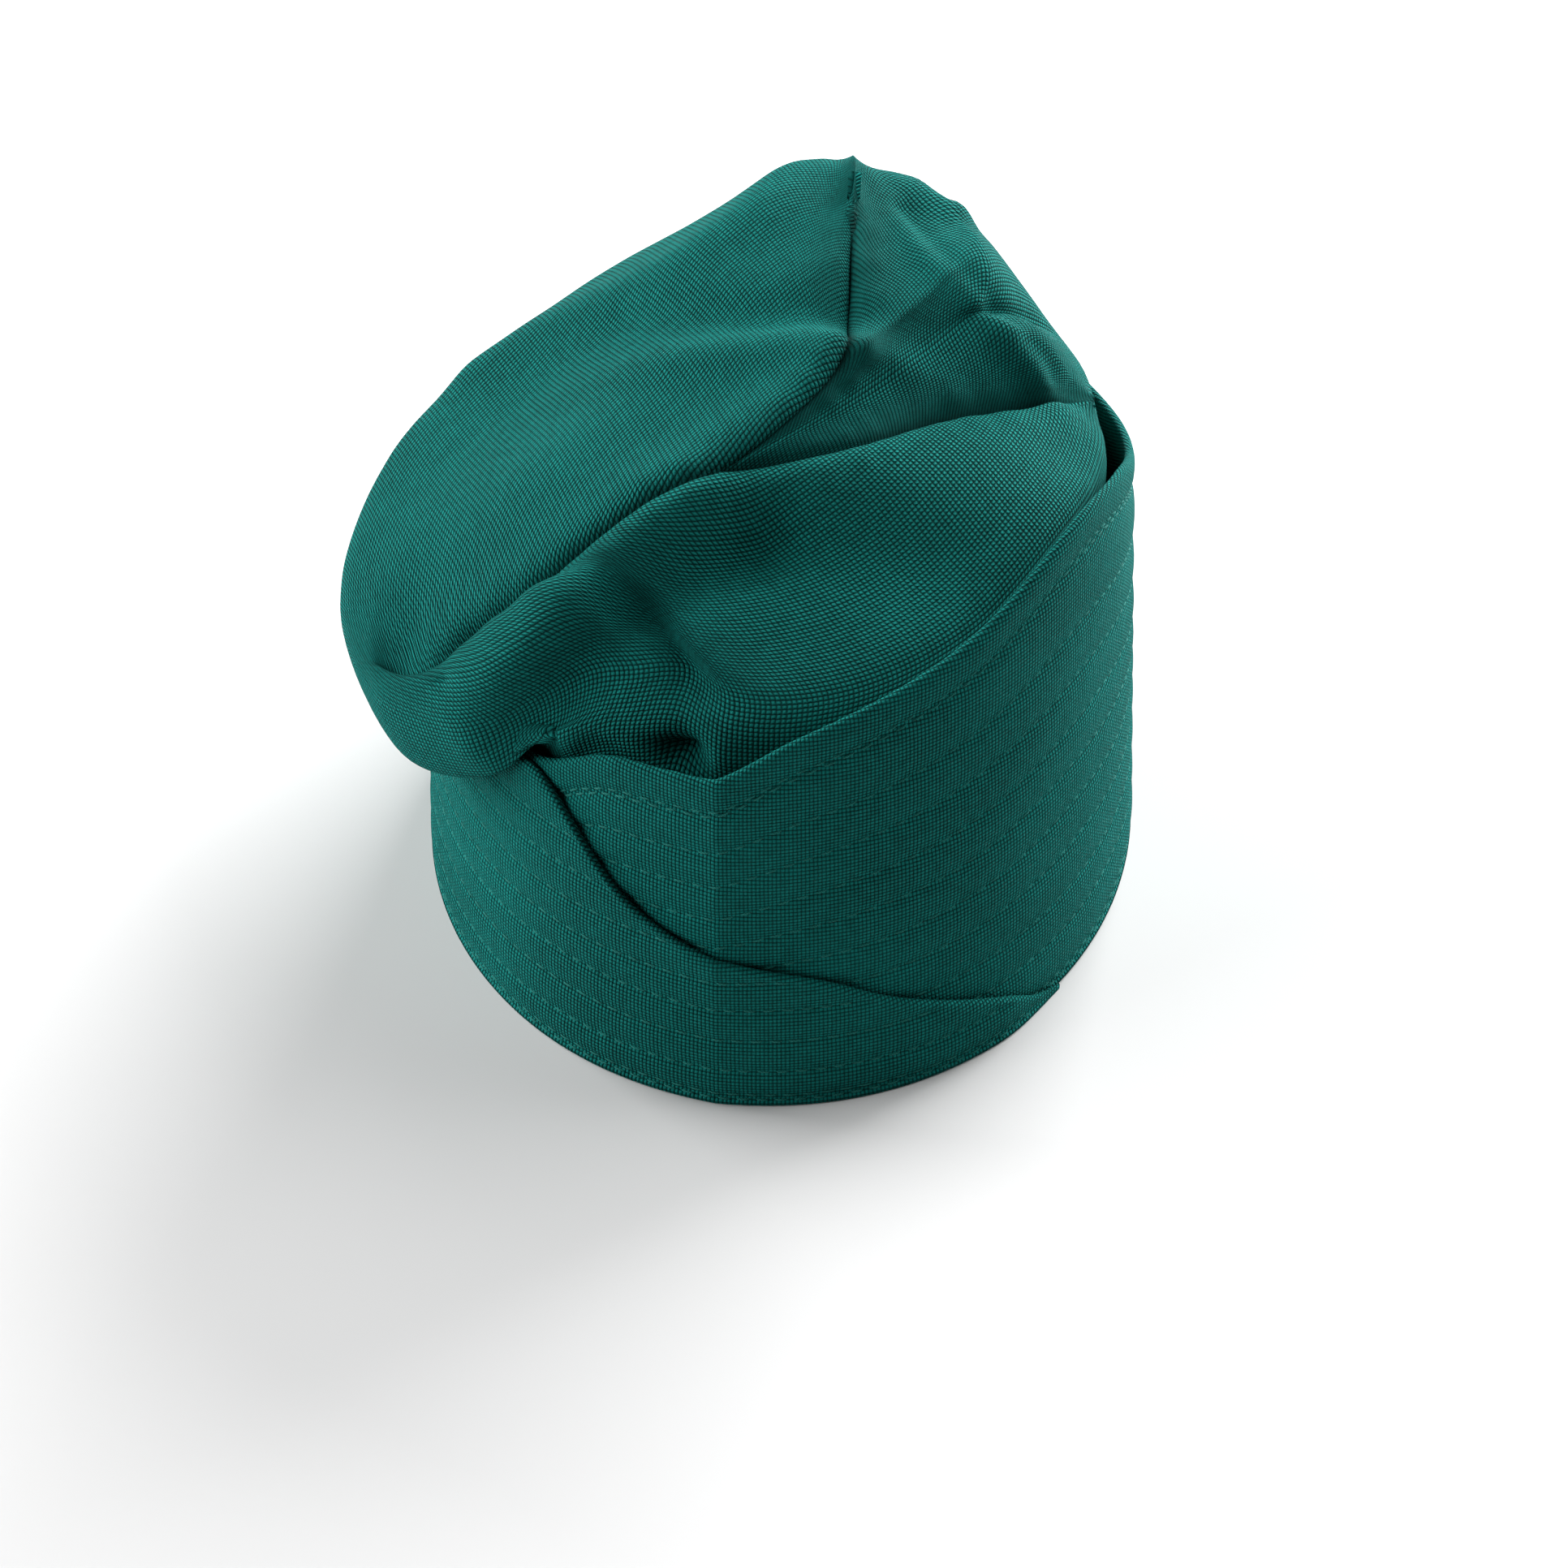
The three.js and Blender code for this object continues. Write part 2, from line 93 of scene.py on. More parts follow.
@dataclass(frozen=True)
class Table:
    """Rows of numbers, read on a smooth curve through them."""

    columns: tuple[str, ...]
    rows: tuple[tuple[float, ...], ...]

    def column(self, name: str) -> Array:
        """Returns one column as an array."""
        at = self.columns.index(name)
        return np.array([row[at] for row in self.rows], float)

    def read(self, name: str, places: Array) -> Array:
        """Reads a column at places along the first column.

        Args:
            name: Column to read.
            places: Values of the first column.

        Returns:
            The column's values there.
        """
        keys = self.column(self.columns[0])
        values = self.column(name)
        x = np.clip(places, keys[0], keys[-1])
        last = len(keys) - 1
        i = np.clip(np.searchsorted(keys, x, side="left") - 1, 0, last - 1)
        before = np.maximum(i - 1, 0)
        after = np.minimum(i + 2, last)
        start_slope = (values[i + 1] - values[before]) / (keys[i + 1] - keys[before])
        end_slope = (values[after] - values[i]) / (keys[after] - keys[i])
        step = keys[i + 1] - keys[i]
        t = (x - keys[i]) / step
        straight = values[i] + (values[i + 1] - values[i]) * t * t * (3 - 2 * t)
        return straight + step * t * (1 - t) * ((1 - t) * start_slope - t * end_slope)

    def turned(self, azimuth: Array) -> Array:
        """Turns azimuths by whole turns until they are in the first column's range."""
        start = self.column(self.columns[0])[0]
        return np.mod(azimuth - start, 360) + start


def lengths_along(line: Array) -> Array:
    """Distances from the start of a line, measured along it, for each of its points."""
    return np.concatenate([[0], np.cumsum(np.linalg.norm(np.diff(line, axis=0), axis=1))])


def curve_through(control: Array, shares: Array) -> Array:
    """Centripetal Catmull-Rom curves through rows of control points.

    Args:
        control: Control points, shaped (curves, points, 3).
        shares: Places along the curves from 0 to 1, shaped (places,) or (curves, places).

    Returns:
        Points shaped (curves, places, 3).
    """
    count = control.shape[1]
    shares = np.broadcast_to(shares, (control.shape[0], np.shape(shares)[-1]))
    place = (count - 1) * shares
    at = np.minimum(np.floor(place).astype(int), count - 2)
    weight = (place - at)[..., None]
    first = 2 * control[:, :1] - control[:, 1:2]
    final = 2 * control[:, -1:] - control[:, -2:-1]
    padded = np.concatenate([first, control, final], axis=1)
    rows = np.arange(control.shape[0])[:, None]
    p0, p1, p2, p3 = (padded[rows, at + k] for k in range(4))
    pairs = ((p0, p1), (p1, p2), (p2, p3))
    d0, d1, d2 = (np.sqrt(np.linalg.norm(b - a, axis=-1, keepdims=True)) for a, b in pairs)
    t1 = ((p1 - p0) / d0 - (p2 - p0) / (d0 + d1) + (p2 - p1) / d1) * d1
    t2 = ((p2 - p1) / d1 - (p3 - p1) / (d1 + d2) + (p3 - p2) / d2) * d1
    second = -3 * p1 + 3 * p2 - 2 * t1 - t2
    third = 2 * p1 - 2 * p2 + t1 + t2
    return p1 + weight * (t1 + weight * (second + weight * third))


def soft_noise(points: Array, size: float, seed: float = 0.0) -> Array:
    """Smooth noise at points.

    Args:
        points: Places in millimetres, shaped (n, 3).
        size: Width of one lump in millimetres.
        seed: Moves the pattern.

    Returns:
        Values from about -1 to 1.
    """
    scaled = points / size + seed
    return np.array([noise.noise(Vector(point)) for point in scaled])


# The band


@dataclass(frozen=True)
class BandForm:
    """Sizes of the turned-up band and the outline that its layers share."""

    half_width: float = 86.3
    half_depth: float = 102.5
    height: float = 131.0
    lean: float = 5.0
    prow: float = 5.0
    prow_spread: float = 50.0
    ridge: float = 2.4
    ridge_spread: float = 9.0
    ridge_low: float = 0.4
    crease: float = -5.0
    cloth: float = 2.2
    layer_gap: float = 0.4
    step_start: float = 35.0
    step_end: float = 5.0
    inner_edge: Table = Table(
        ("azimuth", "height"),
        (
            (-92, 0.6),
            (-40, 0.6),
            (-24, 0.7),
            (-13, 0.725),
            (-5, 0.74),
            (8, 0.815),
            (35, 0.91),
            (60, 1),
            (78, 0.95),
            (95, 0.84),
            (122, 0.735),
            (179.867, 0.67),
        ),
    )
    outer_edge: Table = Table(
        ("azimuth", "height"),
        (
            (-179.867, 0.67),
            (-130, 0.65),
            (-90, 0.62),
            (-60, 0.6),
            (-48, 0.575),
            (-36, 0.595),
            (-21, 0.43),
            (-11, 0.366),
            (0, 0.325),
            (12, 0.28),
            (22, 0.215),
            (43, 0.09),
            (50, 0.035),
            (55, 0.013),
        ),
    )

    @property
    def layer(self) -> float:
        """One layer of cloth with its gap."""
        return self.cloth + self.layer_gap

    def outline(self, azimuth: Array, height: Array, inset: Array, prow: float = 1.0) -> Array:
        """Points of the band's outline.

        Args:
            azimuth: Degrees about +Z.
            height: Height above the rim in millimetres.
            inset: Distance inwards from the outermost cloth.
            prow: Share of the forward reach at the crease.

        Returns:
            Points shaped like the arguments, with a last axis of 3.
        """
        azimuth, height, inset = np.broadcast_arrays(
            np.asarray(azimuth, float), np.asarray(height, float), np.asarray(inset, float)
        )
        angle = np.radians(azimuth)
        lean = self.lean * height / self.height
        away = np.abs(azimuth - self.crease)
        up = np.clip(height / self.height, 0, 1)
        reach = self.prow * np.maximum(0, 1 - away / self.prow_spread) ** 2 * up
        rising = self.ridge_low + (1 - self.ridge_low) * up
        reach = prow * (reach + self.ridge * np.exp(-away / self.ridge_spread) * rising)
        width = self.half_width - inset - lean
        depth = self.half_depth - inset - lean + reach
        return np.stack([width * np.sin(angle), -depth * np.cos(angle), height], axis=-1)

    def edge_height(self, side: Side, azimuth: Array) -> Array:
        """Height of a wrap's upper edge in millimetres."""
        table = self.inner_edge if side is Side.RIGHT else self.outer_edge
        return self.height * table.read("height", azimuth)

    def top_height(self, azimuth: Array) -> Array:
        """Height of the higher wrap at azimuths from -180 to 180."""
        best = np.zeros_like(azimuth, float)
        for side, table in ((Side.RIGHT, self.inner_edge), (Side.LEFT, self.outer_edge)):
            keys = table.column("azimuth")
            covered = (azimuth >= keys[0]) & (azimuth <= keys[-1])
            best = np.where(covered, np.maximum(best, self.edge_height(side, azimuth)), best)
        return best

    def inset(self, side: Side, azimuth: Array) -> Array:
        """How far in a wrap's outer face lies."""
        if side is Side.RIGHT:
            return np.full_like(np.asarray(azimuth, float), self.layer)
        hidden = self.inner_edge.column("azimuth")[0]
        out = smoothstep(azimuth, hidden - self.step_start, hidden - self.step_end)
        return self.layer * (1 - out)


# The crown


@dataclass(frozen=True)
class PhotoView:
    """The camera's place, and the picture that it takes, in pixels from the upper left."""

    picture: float = 1932.0
    focal: float = 6413.5
    azimuth: float = 5.0
    elevation: float = 41.5
    distance: float = 1270.0
    origin_x: float = 970.0
    origin_y: float = 996.0

    @property
    def axes(self) -> Array:
        """The camera's right, up and back directions, a row each."""
        turn = math.radians(self.azimuth)
        tilt = math.radians(self.elevation)
        back = np.array([math.sin(turn) * math.cos(tilt), -math.cos(turn) * math.cos(tilt), math.sin(tilt)])
        right = np.array([math.cos(turn), math.sin(turn), 0])
        return np.array([right, np.cross(back, right), back])

    @property
    def place(self) -> Array:
        """The camera's place in millimetres from the rim's middle."""
        across = (self.origin_x - self.picture / 2) * self.distance / self.focal
        down = (self.origin_y - self.picture / 2) * self.distance / self.focal
        right, up, back = self.axes
        return back * self.distance - right * across + up * down

    def project(self, points: Array) -> tuple[Array, Array]:
        """Finds where points lie in the picture.

        Args:
            points: Places in millimetres from the rim's middle, shaped (n, 3).

        Returns:
            Pixels shaped (n, 2), and distances from the camera.
        """
        right, up, back = self.axes
        seen = points - self.place
        away = -(seen @ back)
        pixels = np.stack([seen @ right, -(seen @ up)], axis=-1) * self.focal / away[:, None]
        return pixels + self.picture / 2, away


@dataclass(frozen=True)
class Fold:
    """A ridge, or a hollow where its heights are below 0, along a path on the crown.

    The path holds places in the picture in pixels. Widths and heights are in millimetres, and
    the height changes evenly from the first to the second along the path.
    """

    name: str
    path: tuple[tuple[float, float], ...]
    width: float
    heights: tuple[float, float]
    sharp: bool = False


@dataclass(frozen=True)
class Ring:
    """One ring of the crown, as shares of the hat's sizes."""

    height: float
    width: float
    depth: float
    back: float
    side: float
    reach: float = 0.0
    drop: float = 0.0
    over: float | None = None
    layer: float = 0.0


@dataclass(frozen=True)
class Panel:
    """One of the crown's three panels, between two of its corners.

    For each share of the way along the seam, turn says how far round the panel a column starts
    at the girth, and square how nearly square to the seam it ends. Where the panel runs into a
    narrow corner between two seams, narrow is the share of the room there that each seam's roll
    takes. Relax says how strongly columns are evened out. A column that keeps its place there
    guides the others round a bend in the seam.
    """

    name: str
    first: str
    second: str
    start: float
    end: float
    turn: Table = Table(("share", "turn"), ((0, 0), (1, 1)))
    square: Table = Table(("share", "square"), ((0, 0), (0.15, 0.4), (0.85, 0.4), (1, 0)))
    narrow: float = 0.0
    relax: Table | None = None


@dataclass(frozen=True)
class CrownForm:
    """Sizes and shape of the slouched crown."""

    band: BandForm
    height: float = 156.0
    wall: float = 1.6
    lobe_reach: float = 34.0
    lobe_drop: float = 41.0
    lobe_over_edge: float = 0.3
    seam_roll: float = 5.0
    fold_size: float = 10.0
    corner_within: float = 0.15
    corner_part: float = 0.5
    roll_most: float = 0.6
    roll_least: float = 0.4
    arm_samples: int = 200
    slope_step: float = 0.5
    swell_shares: tuple[float, float] = (0.3, 0.65)
    seam_steps: dict[str, int] = field(default_factory=lambda: {"back": 11, "front": 13, "side": 12})
    panels: tuple[Panel, ...] = (
        Panel(
            "left",
            "back",
            "front",
            174,
            295,
            relax=Table(("share", "relax"), ((0, 1), (0.12, 1), (0.22, 0), (1, 0))),
        ),
        Panel("front", "front", "side", 295, 464),
        Panel(
            "right",
            "side",
            "back",
            464,
            534,
            Table(("share", "turn"), ((0, 0), (0.3, 0.14), (0.52, 0.23), (0.74, 0.35), (1, 1))),
            Table(
                ("share", "square"),
                ((0, 0), (0.3, 0.3), (0.42, 0.9), (0.8, 0.9), (0.9, 0.4), (1, 0)),
            ),
            narrow=0.12,
            relax=Table(
                ("share", "relax"),
                (
                    (0, 0),
                    (0.12, 0),
                    (0.3, 1),
                    (0.735, 1),
                    (0.75, 0),
                    (0.772, 0),
                    (0.787, 1),
                    (0.85, 1),
                    (1, 1),
                ),
            ),
        ),
    )
    rings: tuple[Ring, ...] = (
        Ring(0, 1, 1, 0, 0),
        Ring(0.26, 0.985, 0.985, 0, 0),
        Ring(0.52, 0.96, 0.965, 0, 0.01, over=-0.06, layer=1.6),
        Ring(0.595, 0.945, 0.95, 0.01, 0.02, over=0.043, layer=0.6),
        Ring(0.665, 0.94, 0.935, 0.02, 0.02, reach=0.75, drop=1),
        Ring(0.71, 0.93, 0.88, 0.03, 0.01, reach=1, drop=0.75),
    )
    lobe: Table = Table(
        ("azimuth", "reach", "drop"),
        (
            (-190, 0, 0),
            (-150, 0.06, 0),
            (-120, 0.22, 0.2),
            (-95, 0.7, 0.5),
            (-75, 0.97, 0.85),
            (-60, 0.92, 0.95),
            (-50, 0.76, 0.82),
            (-42, 0.6, 0.6),
            (-36, 0.38, 0.34),
            (-30, 0.14, 0.1),
            (-24, 0, 0),
            (-14, -0.2, 0),
            (-4, 0, 0),
            (15, 0, 0),
            (40, 0, -0.15),
            (62, 0, -0.35),
            (85, 0, -0.15),
            (104, 0, 0),
            (170, 0, 0),
        ),
    )
    swell: Table = Table(
        ("azimuth", "low", "high"),
        (
            (-65, 0.4, 0),
            (-50, 0.7, 0.4),
            (-30, 0.9, 0.9),
            (-15, 0.3, 0.5),
            (15, 0, 0.1),
            (60, 0.2, 0.2),
            (104, 0.2, 0.1),
            (120, 1.8, 0.7),
            (135, 2.05, 0.8),
            (147, 1.25, 0.6),
            (157, 1.5, 0.55),
            (166, 1.4, 0.7),
            (174, 1.35, 0.75),
            (182, 1.7, 0.95),
            (195, 2.05, 1.08),
            (210, 1.6, 1.1),
            (225, 0.8, 0.9),
            (240, 0.2, 0.7),
            (255, 0.1, 0.6),
            (280, 0.5, 0.2),
            (295, 0.4, 0),
        ),
    )
    long_seam: Table = Table(
        ("across", "along", "up"),
        (
            (0.13, 0.52, 0.982),
            (0.14, 0.27, 0.95),
            (0.152, -0.067, 0.917),
            (0.012, -0.27, 0.885),
            (-0.14, -0.365, 0.853),
            (-0.336, -0.437, 0.814),
            (-0.496, -0.495, 0.756),
            (-0.637, -0.558, 0.692),
            (-0.784, -0.577, 0.622),
            (-0.93, -0.596, 0.538),
        ),
    )
    side_seam: Table = Table(
        ("across", "along", "up"),
        (
            (0.81, 0.175, 0.74),
            (0.62, 0.05, 0.79),
            (0.42, -0.08, 0.825),
            (0.18, -0.26, 0.86),
            (-0.14, -0.365, 0.853),
        ),
    )
    junction: float = 4 / 9

    @property
    def top_level(self) -> int:
        """Level of the seam, counting rings from 0 at the rim."""
        return len(self.rings) + len(self.swell_shares) + 1

    def columns_in(self, panel: Panel) -> int:
        """Number of base columns across a panel."""
        return self.seam_steps[panel.first] + self.seam_steps[panel.second]

    def ring_points(self, ring: Ring, azimuth: Array) -> Array:
        """Points of one ring at azimuths of any turn."""
        angle = np.radians(azimuth)
        turned = self.lobe.turned(azimuth)
        lean = self.lobe.read("reach", turned)
        base = self.band.outline(azimuth, ring.height * self.height, 2 * self.band.layer, prow=0)
        base = base * np.array([ring.width, ring.depth, 1])
        base[..., 2] += (ring.back * -np.cos(angle) + ring.side * np.sin(angle)) * self.height
        if ring.over is not None:
            wrapped = np.mod(azimuth + 180, 360) - 180
            height = self.band.top_height(wrapped) + ring.over * self.height
            over = self.band.outline(wrapped, height, ring.layer * 2 * self.band.layer, prow=0)
            share = smoothstep(lean, 0, self.lobe_over_edge)[..., None]
            return base * (1 - share) + over * share
        reach = lean * ring.reach * self.lobe_reach
        drop = self.lobe.read("drop", turned) * ring.drop * self.lobe_drop
        return base + np.stack([reach * np.sin(angle), -reach * np.cos(angle), -drop], axis=-1)

    def seam_curve(self, table: Table, shares: Array) -> Array:
        """Points along one of the two seam curves."""
        size = np.array([self.band.half_width, self.band.half_depth, self.height])
        return curve_through((np.array(table.rows, float) * size)[None], np.atleast_1d(shares))[0]

    def seam_arm(self, corner: str, shares: Array) -> Array:
        """Points along a seam arm, from its corner at 0 to the junction at 1."""
        if corner == "back":
            return self.seam_curve(self.long_seam, shares * self.junction)
        if corner == "front":
            return self.seam_curve(self.long_seam, 1 - shares * (1 - self.junction))
        return self.seam_curve(self.side_seam, shares)

    def seam_points(self, panel: Panel, column: Array) -> Array:
        """Where columns of a panel meet the seam."""
        before = self.seam_steps[panel.first]
        after = self.seam_steps[panel.second]
        first = self.seam_arm(panel.first, np.minimum(column / before, 1))
        second = self.seam_arm(panel.second, np.clip((before + after - column) / after, 0, 1))
        return np.where((column <= before)[:, None], first, second)

    def opposite(self, panel: Panel, column: Array) -> Array:
        """Points on a panel's other seam arm, as far from the junction as its columns end."""
        before = self.seam_steps[panel.first]
        after = self.seam_steps[panel.second]
        back = np.linspace(0, 1, self.arm_samples)
        arms = [self.seam_arm(corner, 1 - back) for corner in (panel.first, panel.second)]
        passed = [lengths_along(arm) for arm in arms]
        first = np.interp(1 - column / before, back, passed[0])
        second = np.interp((column - before) / after, back, passed[1])
        onto_second = np.stack([np.interp(first, passed[1], arms[1][:, k]) for k in range(3)], axis=1)
        onto_first = np.stack([np.interp(second, passed[0], arms[0][:, k]) for k in range(3)], axis=1)
        return np.where((column <= before)[:, None], onto_second, onto_first)

    def column_points(self, panel: Panel, column: Array, shares: Array) -> Array:
        """Points up the columns of a panel before folding.

        Args:
            panel: The panel.
            column: Column numbers, which may be fractions.
            shares: Places up the columns from 0 to 1.

        Returns:
            Points shaped (columns, places, 3).
        """
        share = column / self.columns_in(panel)
        azimuth = panel.start + (panel.end - panel.start) * panel.turn.read("turn", share)
        points = [self.ring_points(ring, azimuth) for ring in self.rings]
        seam = self.seam_points(panel, column)
        turned = self.swell.turned(azimuth)
        for way, name in zip(self.swell_shares, self.swell.columns[1:]):
            point = points[len(self.rings) - 1] * (1 - way) + seam * way
            point[:, 2] += self.fold_size * self.swell.read(name, turned)
            points.append(point)
        corner = smoothstep(np.minimum(share, 1 - share), 0, self.corner_within)
        aside = points[-1] - seam
        span = np.linalg.norm(aside, axis=1)
        aside /= span[:, None]
        last = self.columns_in(panel)
        ahead = self.seam_points(panel, np.minimum(column + self.slope_step, last))
        along = ahead - self.seam_points(panel, np.maximum(column - self.slope_step, 0))
        along /= np.linalg.norm(along, axis=1, keepdims=True)
        slant = np.einsum("ij,ij->i", aside, along) * panel.square.read("square", share)
        aside -= along * slant[:, None]
        aside /= np.linalg.norm(aside, axis=1, keepdims=True)
        plump = self.corner_part + (1 - self.corner_part) * corner
        reach = np.minimum(self.seam_roll * plump, self.roll_most * span)
        if panel.narrow:
            room = np.linalg.norm(self.opposite(panel, column) - seam, axis=1)
            reach = np.minimum(reach, np.maximum(room * panel.narrow, self.roll_least))
        roll = seam + aside * reach[:, None]
        points += [roll, seam]
        return curve_through(np.stack(points, axis=1), shares)


# Meshes


def grid_normals(points: Array, quads: Array) -> Array:
    """Area-weighted point normals of a quad mesh.

    Args:
        points: Points shaped (n, 3).
        quads: Corner indices shaped (m, 4).

    Returns:
        Unit normals shaped (n, 3).
    """
    a, b, c, d = (points[quads[:, k]] for k in range(4))
    face = np.cross(c - a, d - b)
    normals = np.zeros_like(points)
    for k in range(4):
        np.add.at(normals, quads[:, k], face)
    return normals / np.maximum(np.linalg.norm(normals, axis=1, keepdims=True), TINY)


def weld(points: Array) -> tuple[Array, Array]:
    """Joins points that lie on each other.

    Args:
        points: Points shaped (n, 3).

    Returns:
        The welded point number of each point, and one first point number for each welded point.
    """
    keys = np.round(points / SAME_POINT).astype(np.int64)
    _, first, inverse = np.unique(keys, axis=0, return_index=True, return_inverse=True)
    return inverse.reshape(-1), first


def make_mesh(
    name: str, points: Array, quads: Array, cloth_map: Array | None = None
) -> bpy.types.Object:
    """Makes a smooth-shaded mesh object.

    Args:
        name: Name of the object.
        points: Points in metres.
        quads: Corner indices shaped (m, 4).
        cloth_map: Coordinates on the flat cloth in metres for each corner, shaped (m, 4, 2).

    Returns:
        The new object, linked to the scene.
    """
    mesh = bpy.data.meshes.new(name)
    mesh.vertices.add(len(points))
    mesh.vertices.foreach_set("co", points.astype(np.float32).ravel())
    mesh.loops.add(quads.size)
    mesh.loops.foreach_set("vertex_index", quads.astype(np.int32).ravel())
    mesh.polygons.add(len(quads))
    mesh.polygons.foreach_set("loop_start", np.arange(0, quads.size, 4, dtype=np.int32))
    if cloth_map is not None:
        layer = mesh.uv_layers.new(name=CLOTH_MAP)
        layer.data.foreach_set("uv", cloth_map.astype(np.float32).ravel())
    mesh.update(calc_edges=True)
    mesh.validate()
    mesh.shade_smooth()
    obj = bpy.data.objects.new(name, mesh)
    bpy.context.scene.collection.objects.link(obj)
    return obj


def surface_area(obj: bpy.types.Object) -> float:
    """Returns the area of a mesh in square metres."""
    return sum(polygon.area for polygon in obj.data.polygons)


def dress(obj: bpy.types.Object, material: bpy.types.Material, slot: str, *nodes: str) -> None:
    """Gives a piece its material and its body, and hides the CAD nodes that it stands in for."""
    obj.data.materials.append(material)
    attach(obj, "root")
    if nodes:
        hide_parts(*nodes)


# Pieces


@dataclass
class CrownPiece:
    """Builds the crown's cloth, finer than the solid, with its small folds and puckers."""

    form: CrownForm
    origin: Vector
    view: PhotoView
    column_detail: int = 5
    facing_least: float = 0.1
    pick_step: float = 14.0
    pick_spread: float = 8.0
    pick_depth: float = 10.0
    path_rounds: int = 10
    same_place: float = 0.01
    level_rows: tuple[int, ...] = (5, 6, 8, 12, 12, 24, 24, 18, 10)
    folds_start: tuple[float, float] = (2.3, 3.3)
    seam_depth: float = 2.6
    seam_width: float = 1.9
    seam_shade: float = 0.8
    pillow_height: float = 1.7
    pillow_width: float = 5.5
    seam_samples: int = 600
    pucker_height: float = 0.28
    pucker_pitch: float = 9.0
    pucker_reach: float = 12.0
    pucker_clear: float = 8.0
    pucker_start: float = 3.0
    pucker_fade: float = 4.0
    pucker_sway: float = 1.7
    pucker_sway_rate: float = 0.9
    pucker_even: float = 0.6
    pucker_rate: float = 1.7
    rumple_height: float = 0.3
    rumple_size: float = 24.0
    rumple_start: tuple[float, float] = (4.2, 5.0)
    rumple_seeds: tuple[float, float] = (3.7, 9.1)
    fine_rumple: float = 0.5
    fine_times: float = 2.3
    map_level: int = 5
    map_step: float = 0.5
    relax_start: tuple[float, float] = (6.0, 6.9)
    relax_end: tuple[float, float] = (8.6, 9.0)
    relax_rounds: int = 700
    guide_pull: float = 0.5
    guide_least: float = 0.02
    smooth_rounds: int = 60
    corner_ease: tuple[float, float] = (3.0, 20.0)
    folds: tuple[Fold, ...] = (
        Fold(
            "left ridge",
            ((1050, 205), (976, 235), (908, 275), (840, 321), (700, 390), (590, 448)),
            9,
            (1.5, 2.2),
        ),
        Fold("left hollow", ((1030, 375), (931, 394), (840, 384), (760, 395)), 8, (-4.5, -1.5)),
        Fold("left roll", ((1025, 432), (976, 424), (885, 432), (800, 450), (700, 480)), 8, (3.2, 1.0)),
        Fold("left seam roll", ((1000, 480), (900, 530), (800, 590)), 7, (1.5, 1.0)),
        Fold(
            "right ridge",
            ((1066, 225), (1095, 262), (1158, 330), (1226, 398), (1276, 462), (1299, 500)),
            4.5,
            (1.8, 2.2),
        ),
        Fold("right valley", ((1108, 266), (1180, 340), (1245, 408), (1290, 462)), 3.2, (-1.8, -1.6)),
        Fold("right bulge", ((1110, 245), (1150, 285), (1215, 350), (1275, 430)), 8, (0.5, 1.5)),
        Fold("right shoulder", ((1100, 232), (1140, 258), (1165, 276)), 6.5, (2.0, 6.0)),
        Fold("right roll", ((1055, 425), (1100, 440), (1150, 480)), 5, (2.2, 0.4)),
        Fold("right dent", ((1052, 395), (1110, 395), (1160, 420)), 6, (-2.0, -0.4)),
        Fold("front roll", ((855, 602), (764, 690), (673, 785), (618, 858), (600, 915)), 8, (3.5, 3.0)),
        Fold(
            "front valley",
            ((930, 672), (870, 695), (800, 742), (727, 795), (673, 850), (627, 899)),
            8.5,
            (-5.0, -5.5),
        ),
        Fold("front hollow", ((960, 668), (1040, 672), (1140, 690)), 13, (-4.2, -2.6)),
        Fold("hanging roll", ((650, 935), (710, 905), (770, 905), (820, 895)), 6, (1.2, 2.2)),
        Fold("rising roll", ((760, 800), (830, 860), (872, 905), (878, 945)), 6, (0.8, 2.6)),
        Fold("pinch", ((838, 935), (850, 950)), 5.5, (-9.0, -7.0)),
        Fold("pinch crease", ((838, 930), (790, 905), (740, 880)), 3, (-2.5, 0.0), True),
        Fold("end crease", ((545, 838), (512, 850)), 2.2, (-2.6, -1.6), True),
        Fold("end dimple", ((505, 800), (499, 850), (470, 872), (452, 838)), 3, (-1.6, -1.2), True),
    )

    def levels(self) -> Array:
        """Places up a column from 0 to 1, closer together where the cloth shows."""
        places = [0.0]
        for level, rows in enumerate(self.level_rows):
            places += [(level + i / rows) / self.form.top_level for i in range(1, rows + 1)]
        return np.array(places)

    def outer_points(self) -> tuple[Array, Array, Array]:
        """Points of the unfolded outer cloth.

        Returns:
            Points shaped (columns, rows, 3), the panel number of each column, and places up
            the columns from 0 to 1.
        """
        shares = self.levels()
        blocks = []
        owners = []
        for number, panel in enumerate(self.form.panels):
            count = self.form.columns_in(panel)
            column = np.arange(count * self.column_detail) / self.column_detail
            points = self.form.column_points(panel, column, shares)
            points[:, -1] = self.form.seam_points(panel, column)
            if panel.relax:
                points = self.relaxed(points, panel.relax.read("relax", column / count), shares)
            blocks.append(points)
            owners.append(np.full(len(column), number))
        return np.concatenate(blocks), np.concatenate(owners), shares

